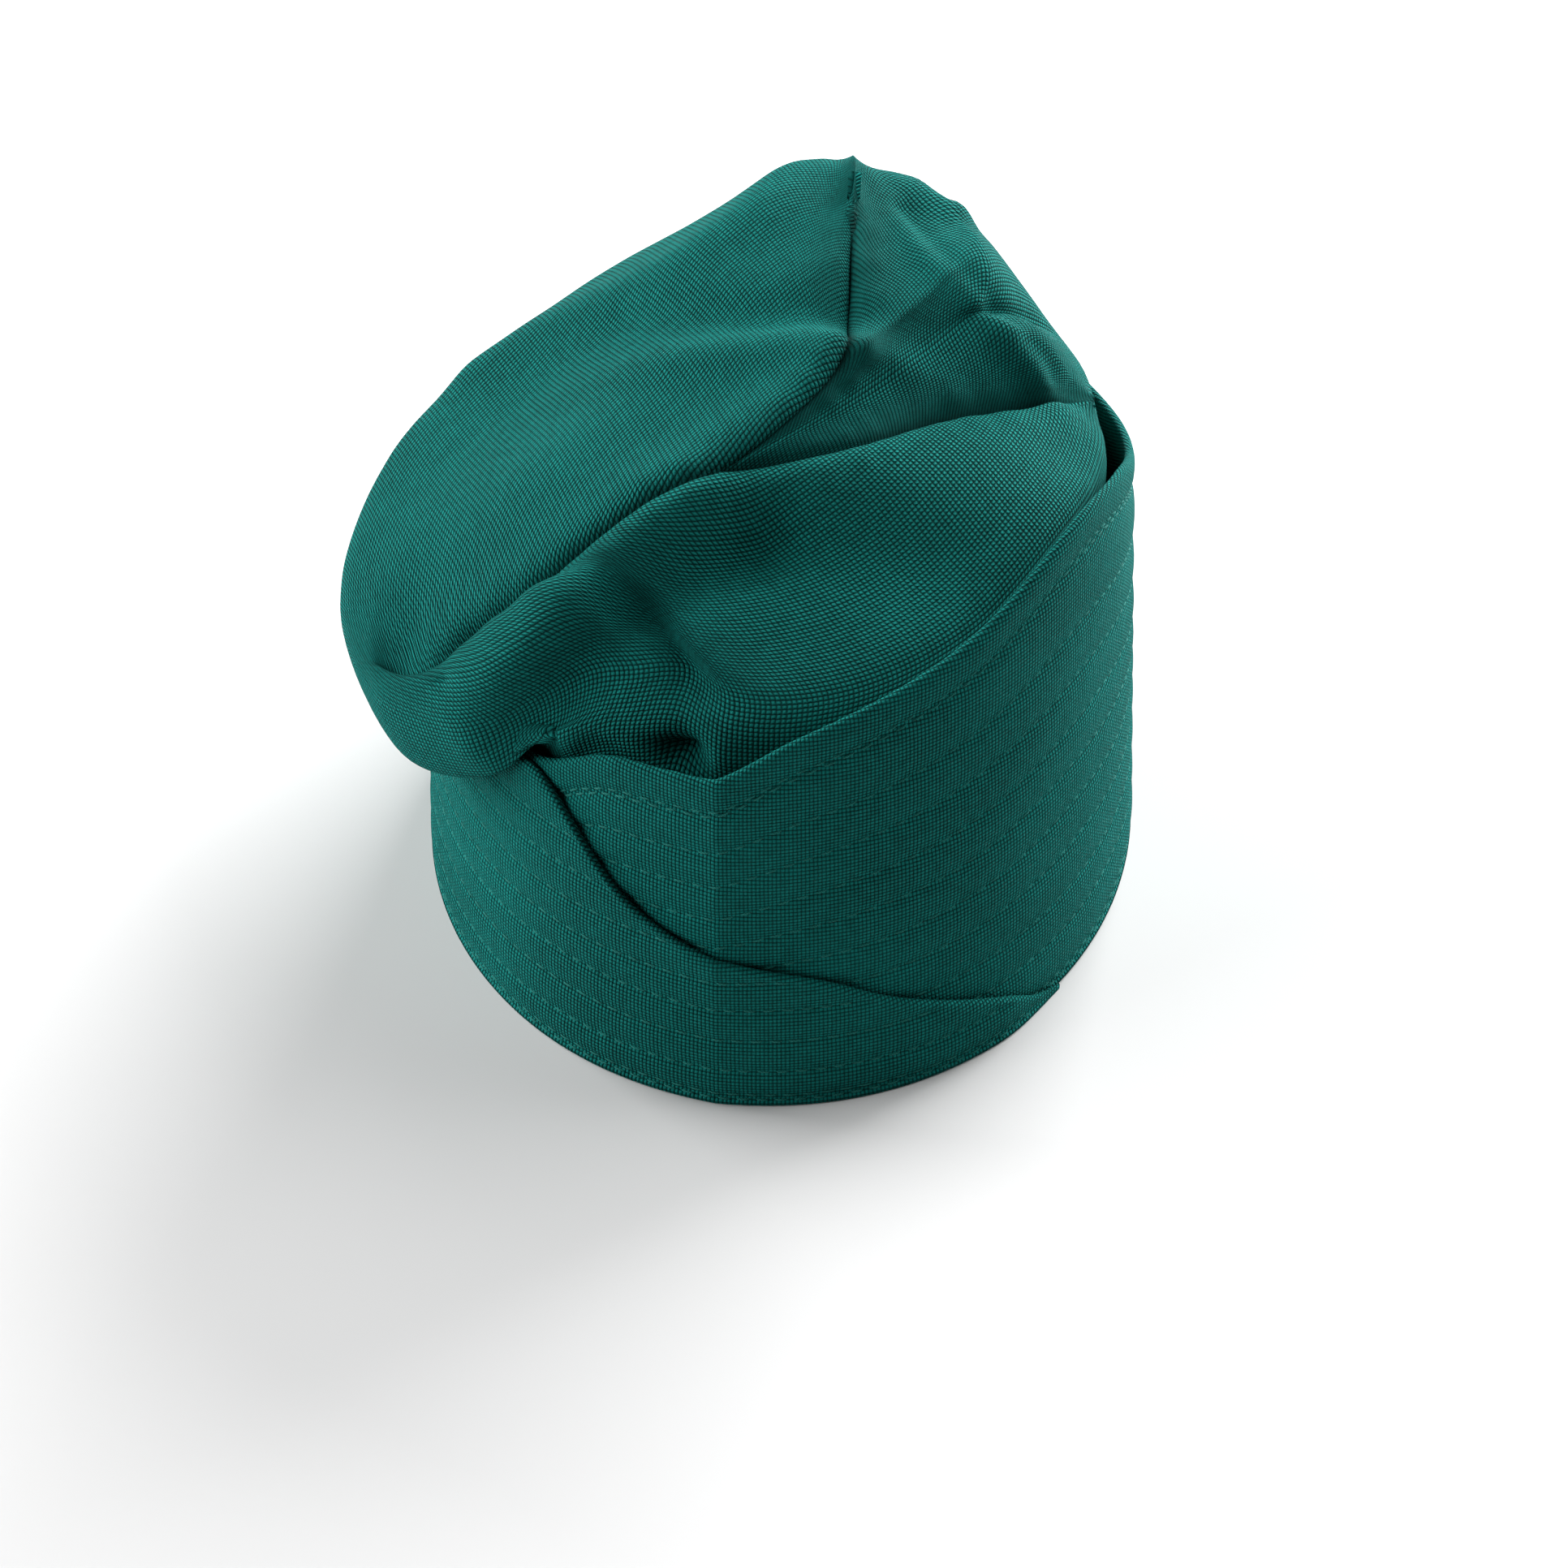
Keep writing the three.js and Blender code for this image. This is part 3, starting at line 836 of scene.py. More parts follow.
    def relaxed(self, points: Array, strength: Array, shares: Array) -> Array:
        """Evens out a panel's columns between the girth and the seam's roll.

        Args:
            points: Points shaped (columns, rows, 3).
            strength: How strongly each column is evened out, from 0 to 1.
            shares: Places up the columns from 0 to 1.

        Returns:
            The evened points, shaped like the given ones.
        """
        level = shares * self.form.top_level
        up = smoothstep(level, *self.relax_start) * (1 - smoothstep(level, *self.relax_end))
        weight = (np.clip(strength, 0, 1)[:, None] * up[None])[1:-1, 1:-1, None]
        reached = np.flatnonzero(strength > self.guide_least)
        within = np.zeros((len(strength) - 2, 1, 1))
        within[reached[0] : reached[-1]] = self.guide_pull
        points = points.copy()
        guided = weight.max(axis=1, keepdims=True) < self.guide_least
        for _ in range(self.relax_rounds):
            beside = points[:-2, 1:-1] + points[2:, 1:-1]
            along = points[1:-1, :-2] + points[1:-1, 2:]
            evened = np.where(guided, along / 2, (beside + along) / 4)
            shift = np.where(guided, up[None, 1:-1, None] * within, weight)
            points[1:-1, 1:-1] += shift * (evened - points[1:-1, 1:-1])
        return points

    def outward(self, points: Array, quads: Array) -> tuple[Array, Array, Array, Array]:
        """Directions that folds move the cloth in, turned evenly across the seam.

        Args:
            points: Points of the unfolded cloth, shaped (n, 3).
            quads: Corner indices shaped (m, 4).

        Returns:
            Unit directions shaped (n, 3), distances from the seam, lengths along its arm to the
            nearest place, and how much farther away the next arm is.
        """
        owner, first = weld(points)
        joined = owner[quads]
        ways = grid_normals(points[first], joined)
        corners = joined.ravel()
        touching = np.bincount(corners, minlength=len(first))
        for _ in range(self.smooth_rounds):
            middles = ways[joined].mean(axis=1)
            sums = [np.bincount(corners, np.repeat(middles[:, k], 4), len(first)) for k in range(3)]
            ways = np.stack(sums, axis=1) / touching[:, None]
        ways = (ways / np.linalg.norm(ways, axis=1, keepdims=True))[owner]
        places = np.linspace(0, 1, self.seam_samples)
        found = []
        for corner in self.form.seam_steps:
            line = self.form.seam_arm(corner, places)
            passed = lengths_along(line)
            tree = kdtree.KDTree(len(line))
            for number, point in enumerate(line):
                tree.insert(point, number)
            tree.balance()
            hits = [tree.find(point) for point in points]
            found.append([(distance, passed[number]) for _, number, distance in hits])
        found = np.array(found)
        order = np.argsort(found[..., 0], axis=0)
        every = np.arange(len(points))
        nearest = found[order[0], every]
        second = found[order[1], every, 0]
        return ways, nearest[:, 0], nearest[:, 1], second - nearest[:, 0]

    def fold_paths(self, points: Array, ways: Array) -> list[Array]:
        """Places on the cloth that the folds' paths show in the picture."""
        pixels, away = self.view.project(points)
        facing = np.einsum("ij,j->i", ways, self.view.axes[2]) > self.facing_least
        paths = []
        for fold in self.folds:
            marks = np.array(fold.path, float)
            done = lengths_along(marks)
            steps = np.linspace(0, done[-1], max(int(done[-1] / self.pick_step), 1) + 1)
            picked = []
            for place in np.stack([np.interp(steps, done, marks[:, k]) for k in range(2)], axis=1):
                off = np.linalg.norm(pixels - place, axis=1) + np.where(facing, 0, self.view.picture)
                near = np.flatnonzero(off < off.min() + self.pick_spread)
                front = near[away[near] < away[near].min() + self.pick_depth]
                picked.append(points[front[off[front].argmin()]])
            path = np.array(picked)
            for _ in range(self.path_rounds):
                path[1:-1] = (path[:-2] + 2 * path[1:-1] + path[2:]) / 4
            paths.append(path)
        return paths

    def fold_heights(self, points: Array, ways: Array) -> Array:
        """How far the folds move points along their directions."""
        total = np.zeros(len(points))
        for fold, path in zip(self.folds, self.fold_paths(points, ways)):
            total += self.fold_height(points, path, fold)
        return total

    def fold_height(self, points: Array, path: Array, fold: Fold) -> Array:
        """How far one fold moves points, from its path on the cloth."""
        lengths = np.linalg.norm(np.diff(path, axis=0), axis=1)
        done = np.concatenate([[0], np.cumsum(lengths)])
        nearest = np.full(len(points), np.inf)
        share = np.zeros(len(points))
        for number, length in enumerate(lengths):
            if length < self.same_place:
                continue
            way = (path[number + 1] - path[number]) / length
            along = np.clip((points - path[number]) @ way, 0, length)
            away = np.linalg.norm(points - path[number] - along[:, None] * way, axis=1)
            closer = away < nearest
            nearest = np.where(closer, away, nearest)
            share = np.where(closer, (done[number] + along) / done[-1], share)
        height = fold.heights[0] + (fold.heights[1] - fold.heights[0]) * share
        if fold.sharp:
            return height * np.exp(-nearest / fold.width)
        return height * np.exp(-((nearest / fold.width) ** 2))

    def folded(
        self, points: Array, quads: Array, shares: Array, columns: int
    ) -> tuple[Array, Array, Array]:
        """Moves points into the seam's groove, folds, puckers and rumples.

        Args:
            points: Unfolded points shaped (n, 3), column after column.
            quads: Corner indices shaped (m, 4).
            shares: Places up the columns from 0 to 1.
            columns: Number of columns.

        Returns:
            The folded points, their normals, and how close they lie to the seam from 0 to 1, which the
            cloth uses as painted shade in the seam's groove.
        """
        ways, away, passed, clear = self.outward(points, quads)
        level = np.tile(shares * self.form.top_level, columns)
        started = smoothstep(level, *self.folds_start)
        height = self.fold_heights(points, ways)
        height += self.pillow_height * away / self.pillow_width * np.exp(1 - away / self.pillow_width)
        height -= self.seam_depth * np.exp(-away / self.seam_width)
        height += self.puckers(passed, away) * smoothstep(clear, 0, self.pucker_clear)
        seed, fine_seed = self.rumple_seeds
        fine = soft_noise(points, self.rumple_size / self.fine_times, fine_seed)
        rumple = soft_noise(points, self.rumple_size, seed) + self.fine_rumple * fine
        height += rumple * self.rumple_height * smoothstep(level, *self.rumple_start)
        eased = np.ones(len(points))
        for corner in self.form.seam_steps:
            tip = self.form.seam_arm(corner, np.zeros(1))
            eased *= smoothstep(np.linalg.norm(points - tip, axis=1), *self.corner_ease)
        moved = points + ways * (height * eased * started)[:, None]
        owner, first = weld(points)
        normals = grid_normals(moved[first], owner[quads])[owner]
        return moved, normals, np.exp(-away / self.seam_shade) * eased

    def puckers(self, passed: Array, away: Array) -> Array:
        """Small gathers that run into the seam."""
        phase = passed / self.pucker_pitch
        sway = self.pucker_sway * np.sin(phase * self.pucker_sway_rate)
        strength = self.pucker_even + (1 - self.pucker_even) * np.sin(phase * self.pucker_rate + 1)
        uneven = np.sin(2 * math.pi * phase + sway) * strength
        fading = 1 - smoothstep(away, self.pucker_fade, self.pucker_reach)
        return self.pucker_height * uneven * (smoothstep(away, 0, self.pucker_start) * fading)

    def cloth_map(self, rows: Array, owners: Array) -> tuple[Array, Array]:
        """Distances on the flat cloth, measured across and up each panel.

        Args:
            rows: Points shaped (columns, rows, 3).
            owners: Panel number of each column.

        Returns:
            Coordinates in metres at each point, and the same for each column's right-hand
            neighbour as seen from its own panel, both shaped (columns, rows, 2).
        """
        following = np.roll(rows, -1, axis=0)
        across = np.linalg.norm(following - rows, axis=-1)
        up = np.zeros(rows.shape[:2])
        up[:, 1:] = np.cumsum(np.linalg.norm(np.diff(rows, axis=1), axis=-1), axis=1)
        here = np.zeros((*rows.shape[:2], 2))
        there = np.zeros_like(here)
        for number in range(len(self.form.panels)):
            at = np.flatnonzero(owners == number)
            end = (at[-1] + 1) % len(rows)
            distance = np.concatenate([np.zeros((1, rows.shape[1])), np.cumsum(across[at], axis=0)])
            distance -= distance[len(at) // 2]
            heights = np.concatenate([up[at], up[end : end + 1]])
            base = heights[:, sum(self.level_rows[: self.map_level])][:, None]
            middle = base[len(at) // 2]
            flat = np.stack([distance, heights - base + middle], axis=-1) * MM + number * self.map_step
            here[at] = flat[:-1]
            there[at] = flat[1:]
        return here, there

    def build(self, material: bpy.types.Material) -> bpy.types.Object:
        """Makes the crown and puts it in the place of its solid.

        Args:
            material: Cloth material.

        Returns:
            The crown.
        """
        LOG.info("panels: %s", ", ".join(panel.name for panel in self.form.panels))
        LOG.info("folds: %s", ", ".join(fold.name for fold in self.folds))
        outer, owners, shares = self.outer_points()
        columns, rows = outer.shape[:2]
        here = np.arange(columns)[:, None] * rows + np.arange(rows - 1)
        there = np.roll(np.arange(columns), -1)[:, None] * rows + np.arange(rows - 1)
        quads = np.stack([here, there, there + 1, here + 1], axis=-1).reshape(-1, 4)
        outer_map, next_map = self.cloth_map(outer, owners)
        corners = np.stack(
            [outer_map[:, :-1], next_map[:, :-1], next_map[:, 1:], outer_map[:, 1:]], axis=2
        ).reshape(-1, 4, 2)
        points, normals, seam = self.folded(outer.reshape(-1, 3), quads, shares, columns)
        inner = points - normals * self.form.wall
        inner[::rows, 2] = 0
        count = len(points)
        rim = np.arange(columns) * rows
        after = np.roll(rim, -1)
        rim_quads = np.stack([after, rim, rim + count, after + count], axis=-1)
        rim_map = np.stack([next_map[:, 0], outer_map[:, 0], outer_map[:, 0], next_map[:, 0]], axis=1)
        everything = np.concatenate([points, inner]) * MM + np.array(self.origin)
        faces = np.concatenate([quads, (quads + count)[:, ::-1], rim_quads])
        cloth = np.concatenate([corners, corners[:, ::-1], rim_map])
        owner, first = weld(everything / MM)
        crown = make_mesh("crown_cloth", everything[first], owner[faces], cloth)
        # Painted shade: this mask darkens the cloth's colour along the seam's groove
        layer = crown.data.attributes.new(SEAM_SHADE_MASK, "FLOAT", "POINT")
        layer.data.foreach_set("value", np.concatenate([seam, seam])[first].astype(np.float32))
        dress(crown, material, "crown_cloth", "crown")
        return crown


@dataclass
class WrapPiece:
    """Builds one wrap of the band with its rolled edges, stitched channels and stitches."""

    band: BandForm
    side: Side
    origin: Vector
    step: float = 1.3
    edge_steps: int = 6
    channel_depth: float = 0.45
    channel_width: float = 1.3
    puff: float = 0.35
    puff_clear: float = 3.0
    row_clear: float = 0.5
    edge_ease: tuple[float, float] = (0.5, 3.0)
    hem_ease: tuple[float, float] = (0.3, 2.0)
    hem_turn: float = 0.6
    edge_turn: float = 0.3
    rows_least: int = 8
    outer_part: float = 0.4
    hem_rows: tuple[float, ...] = (1.9, 3.4)
    edge_rows: tuple[float, ...] = (10.4, 9.0)
    right_rows: tuple[float, ...] = (0.125, 0.21, 0.305, 0.395, 0.485, 0.575, 0.676, 0.78)
    left_rows: tuple[float, ...] = (11.0, 20.5, 30.0, 38.5, 47.5, 57.0, 66.5)
    stitch_pitch: float = 4.4
    stitch_length: float = 3.3
    stitch_shift: float = 1.9
    stitch_places: int = 7
    stitch_margin: float = 0.4
    stitch_bow: float = 0.5
    stitch_lift: float = 1.3
    stitch_sink: float = 0.75
    stitch_wobble: float = 0.12
    wobble_turn: float = 2.399
    edge_room: float = 1.2
    hem_room: float = 0.8
    line_samples: int = 2400
    thread: float = 0.25
    ripple: float = 0.14
    ripple_sizes: tuple[float, ...] = (7.3, 23.0, 9.0, 41.0)
    thin_most: float = 0.8
    thin_reach: float = 14.0

    @property
    def table(self) -> Table:
        """The wrap's edge table."""
        return self.band.inner_edge if self.side is Side.RIGHT else self.band.outer_edge

    def row_heights(self, azimuth: Array) -> list[Array]:
        """Heights of the stitch rows in millimetres at azimuths, hem first."""
        top = self.band.edge_height(self.side, azimuth)
        hem = [np.full_like(top, height) for height in self.hem_rows]
        if self.side is Side.LEFT:
            return hem + [np.full_like(top, height) for height in self.left_rows]
        edge = [top - down for down in self.edge_rows]
        return hem + [share * top for share in self.right_rows] + edge

    def surface(self, azimuth: Array, height: Array, out: Array) -> Array:
        """Points of the outer face, moved out by some millimetres."""
        inset = self.band.inset(self.side, azimuth) + self.band.cloth * (1 - self.thinning(azimuth))
        return self.band.outline(azimuth, height, inset - out)

    def thinning(self, azimuth: Array) -> Array:
        """Share of the cloth's thickness that is left, where the outer wrap runs out."""
        if self.side is Side.RIGHT:
            return np.ones_like(azimuth, float)
        end = self.table.column("azimuth")[-1]
        return 1 - self.thin_most * smoothstep(azimuth, end - self.thin_reach, end)

    def relief(self, azimuth: Array, height: Array) -> Array:
        """How far the stitched cloth stands out or in at places on the outer face."""
        top = self.band.edge_height(self.side, azimuth)
        rows = self.row_heights(azimuth)
        relief = np.zeros_like(height)
        lowest = np.zeros_like(height)
        for row in rows:
            away = height - row
            held = np.exp(-((away / self.channel_width) ** 2)) * (row < top - self.row_clear)
            relief -= self.channel_depth * held
            near = np.exp(-((away / (self.puff_clear * self.channel_width)) ** 2))
            lowest = np.maximum(lowest, near)
        relief += self.puff * (1 - lowest)
        along = self.band.half_width * np.radians(azimuth)
        short, long, tall, slant = self.ripple_sizes
        waves = np.sin(along / short + np.sin(along / long)) * np.sin(height / tall + along / slant)
        near_edge = smoothstep(top - height, *self.edge_ease) * smoothstep(height, *self.hem_ease)
        return (relief + self.ripple * waves) * near_edge

    def profile(self, azimuth: Array) -> tuple[Array, Array, Array]:
        """The wrap's cross-section at azimuths, from the hem up the outside and down the inside.

        Args:
            azimuth: Azimuths shaped (n,).

        Returns:
            Heights, distances in from the outer face, and distances along the cloth, each
            shaped (n, places).
        """
        top = self.band.edge_height(self.side, azimuth)[:, None]
        radius = self.band.cloth / 2
        tallest = self.band.height * self.table.column("height").max()
        rows = max(int(tallest / self.step), self.rows_least)
        turn = np.linspace(0, math.pi, self.edge_steps + 1)
        low = radius * self.hem_turn
        reach = np.minimum(radius, top * self.edge_turn)
        up = low + (top - reach - low) * np.linspace(0, 1, rows)[None]
        height = np.concatenate(
            [
                np.zeros_like(top),
                up,
                (top - reach) + reach * np.sin(turn[1:-1])[None],
                up[:, ::-1],
                np.zeros_like(top),
            ],
            axis=1,
        )
        depth = np.concatenate(
            [
                np.full_like(top, low * self.hem_turn),
                np.zeros_like(up),
                np.broadcast_to(radius - radius * np.cos(turn[1:-1]), (len(top), self.edge_steps - 1)),
                np.full_like(up, self.band.cloth),
                np.full_like(top, self.band.cloth - low * self.hem_turn),
            ],
            axis=1,
        )
        along = np.zeros_like(height)
        steps = np.hypot(np.diff(height, axis=1), np.diff(depth, axis=1))
        along[:, 1:] = np.cumsum(steps, axis=1)
        return height, depth, along

    def build(self, material: bpy.types.Material) -> bpy.types.Object:
        """Makes the wrap and puts it in the place of its solid."""
        keys = self.table.column("azimuth")
        count = int(math.radians(keys[-1] - keys[0]) * self.band.half_depth / self.step)
        azimuth = np.linspace(keys[0], keys[-1], count + 1)
        if keys[0] < self.band.crease < keys[-1]:
            azimuth[np.abs(azimuth - self.band.crease).argmin()] = self.band.crease
        height, depth, along = self.profile(azimuth)
        relief = self.relief(azimuth[:, None] + 0 * height, height)
        thin = self.thinning(azimuth[:, None] + 0 * height)
        out = np.where(depth < self.band.cloth * self.outer_part, relief, 0) * thin - depth * thin
        points = self.surface(azimuth[:, None] + 0 * height, height, out)
        places = points.shape[1]
        here = np.arange(count)[:, None] * places + np.arange(places)
        turned = np.roll(np.arange(places), -1)
        after = np.arange(count)[:, None] * places + turned
        quads = np.stack([here, here + places, after + places, after], axis=-1).reshape(-1, 4)
        across = np.radians(azimuth)[:, None] * (self.band.half_width + self.band.half_depth) / 2
        flat = np.stack([across + 0 * along, along], axis=-1) * MM
        corners = np.stack(
            [flat[:-1], flat[1:], flat[1:][:, turned], flat[:-1][:, turned]], axis=2
        ).reshape(-1, 4, 2)
        half = places // 2
        lower = np.arange(half - 1)
        start = np.stack([places - 1 - lower, lower, lower + 1, places - 2 - lower], axis=-1)
        end = start[:, ::-1] + count * places
        everything = points.reshape(-1, 3) * MM + np.array(self.origin)
        flat_list = flat.reshape(-1, 2)
        faces = np.concatenate([quads, start, end])
        cloth = np.concatenate([corners, flat_list[start], flat_list[end]])
        wrap = make_mesh(self.side.value + "_cloth", everything, faces, cloth)
        dress(wrap, material, "wrap_cloth", self.side.value)
        area = surface_area(wrap) / 2
        length = math.radians(keys[-1] - keys[0]) * (self.band.half_width + self.band.half_depth) / 2 * MM
        tall = float(height.max()) * MM
        area = min(area, length * tall)
        return wrap

    def stitches(self, material: bpy.types.Material) -> bpy.types.Object:
        """Makes the wrap's rows of running stitches as one mesh."""
        keys = self.table.column("azimuth")
        margin = self.stitch_margin
        fine = np.linspace(keys[0] + margin, keys[-1] - margin, self.line_samples)
        top = self.band.edge_height(self.side, fine)
        centres = []
        for number, row in enumerate(self.row_heights(fine)):
            line = self.surface(fine, row, np.zeros_like(row))
            along = lengths_along(line)
            offset = (number * self.stitch_shift) % self.stitch_pitch
            starts = np.arange(offset, along[-1] - self.stitch_length, self.stitch_pitch)
            places = starts[:, None] + np.linspace(0, self.stitch_length, self.stitch_places)[None]
            azimuth = np.interp(places, along, fine)
            height = np.interp(places, along, row)
            room = np.interp(places, along, top) - height
            kept = (room.min(axis=1) > self.edge_room) & (height.min(axis=1) > self.hem_room)
            centres.append((azimuth[kept], height[kept]))
        azimuth = np.concatenate([pair[0] for pair in centres])
        height = np.concatenate([pair[1] for pair in centres])
        rise = np.sin(np.linspace(0, math.pi, self.stitch_places)) ** self.stitch_bow
        sink = self.relief(azimuth, height)
        lift = sink + (rise[None] * self.stitch_lift - self.stitch_sink) * self.thread
        wobble = self.stitch_wobble * np.sin(np.arange(len(azimuth)) * self.wobble_turn)[:, None]
        tilted = height + wobble * np.linspace(-1, 1, self.stitch_places)[None]
        points, quads = tube_grid(self.surface(azimuth, tilted, lift), self.thread)
        obj = make_mesh(self.side.value + "_stitches", points * MM + np.array(self.origin), quads)
        dress(obj, material, "wrap_cloth")
        return obj


def tube_grid(
    lines: Array, radius: float, blunt: float = 0.25, taper_power: float = 0.4
) -> tuple[Array, Array]:
    """Closed six-sided tubes that taper at both ends along many short lines.

    Args:
        lines: Points shaped (lines, places, 3).
        radius: Radius of the tubes.
        blunt: Share of the radius that is left at the ends.
        taper_power: How fast the ends widen: less is faster.

    Returns:
        Points shaped (n, 3) and quads shaped (m, 4).
    """
    sides = TUBE_SIDES
    ways = np.gradient(lines, axis=1)
    ways /= np.linalg.norm(ways, axis=-1, keepdims=True)
    up = np.broadcast_to(np.array([0.0, 0.0, 1.0]), ways.shape)
    side = np.cross(ways, up)
    side /= np.maximum(np.linalg.norm(side, axis=-1, keepdims=True), TINY)
    other = np.cross(side, ways)
    turn = np.linspace(0, 2 * math.pi, sides, endpoint=False)
    count, places = lines.shape[:2]
    widening = np.sin(np.linspace(0, math.pi, places)) ** taper_power
    taper = radius * (blunt + (1 - blunt) * widening)
    ring = side[:, :, None] * np.cos(turn)[:, None] + other[:, :, None] * np.sin(turn)[:, None]
    points = lines[:, :, None] + ring * taper[None, :, None, None]
    at = np.arange(count)[:, None, None] * places * sides
    place = np.arange(places - 1)[None, :, None] * sides
    corner = np.arange(sides)[None, None]
    following = (corner + 1) % sides
    a = at + place + corner
    b = at + place + following
    quads = np.stack([a, b, b + sides, a + sides], axis=-1).reshape(-1, 4)
    cap = np.array(TUBE_CAP)
    starts = at.reshape(-1, 1, 1) + cap[None]
    ends = at.reshape(-1, 1, 1) + (places - 1) * sides + cap[None, :, ::-1]
    return points.reshape(-1, 3), np.concatenate([quads, starts.reshape(-1, 4), ends.reshape(-1, 4)])


# Finishes


@dataclass(frozen=True)
class WeaveForm:
    """Numbers of the weave effect. Its pitch is in metres, and its scales are in lumps a metre."""

    pitch: float = 0.0011
    stretch: float = 1.0
    wander: float = 0.12
    wander_scale: float = 90.0
    arch_power: float = 0.5
    dome_share: float = 0.7
    twists: float = 3.0
    twist_height: float = 0.05
    fibre_scale: float = 2600.0
    fibre_bend: float = 0.4
    fibre_height: float = 0.18
    slub_scale: float = 320.0
    slub_least: float = 0.72
    slub_reach: float = 0.5


@dataclass(frozen=True)
class WearForm:
    """Numbers of the wear effect: patches in a metre, their strength and where they start and end."""

    scale: float = 22.0
    amount: float = 1.0
    low: float = 0.35
    high: float = 0.7


@dataclass(frozen=True)
class ClothFinish:
    """A woven cloth's colours and surface. The pitch and depth of its threads are in metres."""

    name: str
    light: tuple[float, float, float]
    pitch: float
    stretch: float
    depth: float
    # Colour of the painted shade in the gaps between threads and along the seam's groove
    dark: tuple[float, float, float] = (0.0002, 0.011, 0.0095)
    shade_range: tuple[float, float] = (0.3, 0.98)
    paler: float = 1.5
    fade: float = 0.16
    fleck: float = 0.5
    fleck_power: float = 4.0
    # Share of the dark colour painted along the seam's groove as shade
    painted_seam_shade: float = 0.9
    roughness: float = 0.88
    specular: float = 0.05
    sheen: float = 0.04
    sheen_roughness: float = 0.45
    sheen_tint: tuple[float, float, float] = (0.04, 0.8, 0.7)


@dataclass(frozen=True)
class ThreadFinish:
    """A sewing thread's colours and surface."""

    name: str = "stitch_thread"
    light: tuple[float, float, float] = (0.015, 0.21, 0.18)
    dark: tuple[float, float, float] = (0.004, 0.09, 0.078)
    twist_scale: float = 900.0
    twist_bend: float = 1.5
    twist_share: float = 0.5
    twist_strength: float = 0.6
    twist_depth: float = 0.0001
    tone_scale: float = 60.0
    roughness: float = 0.8
    specular: float = 0.1
    sheen: float = 0.05


class NodeGraph:
    """Adds nodes to a tree and links them by short calls."""

    def __init__(self, tree: bpy.types.NodeTree) -> None:
        """Keeps the tree that nodes are added to."""
        self.tree = tree

    def add(
        self, kind: str, inputs: dict[int | str, object] | None = None, **settings: object
    ) -> bpy.types.Node:
        """Adds a node.

        Args:
            kind: The node's type name.
            inputs: Values or output sockets for its inputs.
            **settings: Properties of the node.

        Returns:
            The node.
        """
        node = self.tree.nodes.new(kind)
        for key, value in settings.items():
            setattr(node, key, value)
        for key, value in (inputs or {}).items():
            if isinstance(value, bpy.types.NodeSocket):
                self.tree.links.new(value, node.inputs[key])
            else:
                node.inputs[key].default_value = value
        return node

    def math(self, operation: str, *values: object) -> bpy.types.NodeSocket:
        """Adds a math node and returns its result."""
        node = self.add("ShaderNodeMath", dict(enumerate(values)), operation=operation)
        return node.outputs[0]

    def plus(self, first: object, second: object, factor: object) -> bpy.types.NodeSocket:
        """Adds the second value, times a factor, to the first, and returns the result."""
        return self.math("ADD", first, self.math("MULTIPLY", second, factor))

    def mix(self, factor: object, first: object, second: object) -> bpy.types.NodeSocket:
        """Mixes two colours and returns the result."""
        node = self.add("ShaderNodeMix", data_type="RGBA")
        for socket, value in zip((node.inputs[0], node.inputs[6], node.inputs[7]), (factor, first, second)):
            if isinstance(value, bpy.types.NodeSocket):
                self.tree.links.new(value, socket)
            else:
                socket.default_value = (*value, 1.0)
        return node.outputs[2]


def new_group(name: str, inputs: dict[str, float], outputs: tuple[str, ...]) -> bpy.types.NodeTree:
    """Makes an empty node group with number sockets.

    Args:
        name: Name of the group.
        inputs: Default value of each input.
        outputs: Names of the outputs.

    Returns:
        The group.
    """
    tree = bpy.data.node_groups.new(name, "ShaderNodeTree")
    for label, value in inputs.items():
        socket = tree.interface.new_socket(name=label, in_out="INPUT", socket_type="NodeSocketFloat")
        socket.default_value = value
    for label in outputs:
        tree.interface.new_socket(name=label, in_out="OUTPUT", socket_type="NodeSocketFloat")
    return tree


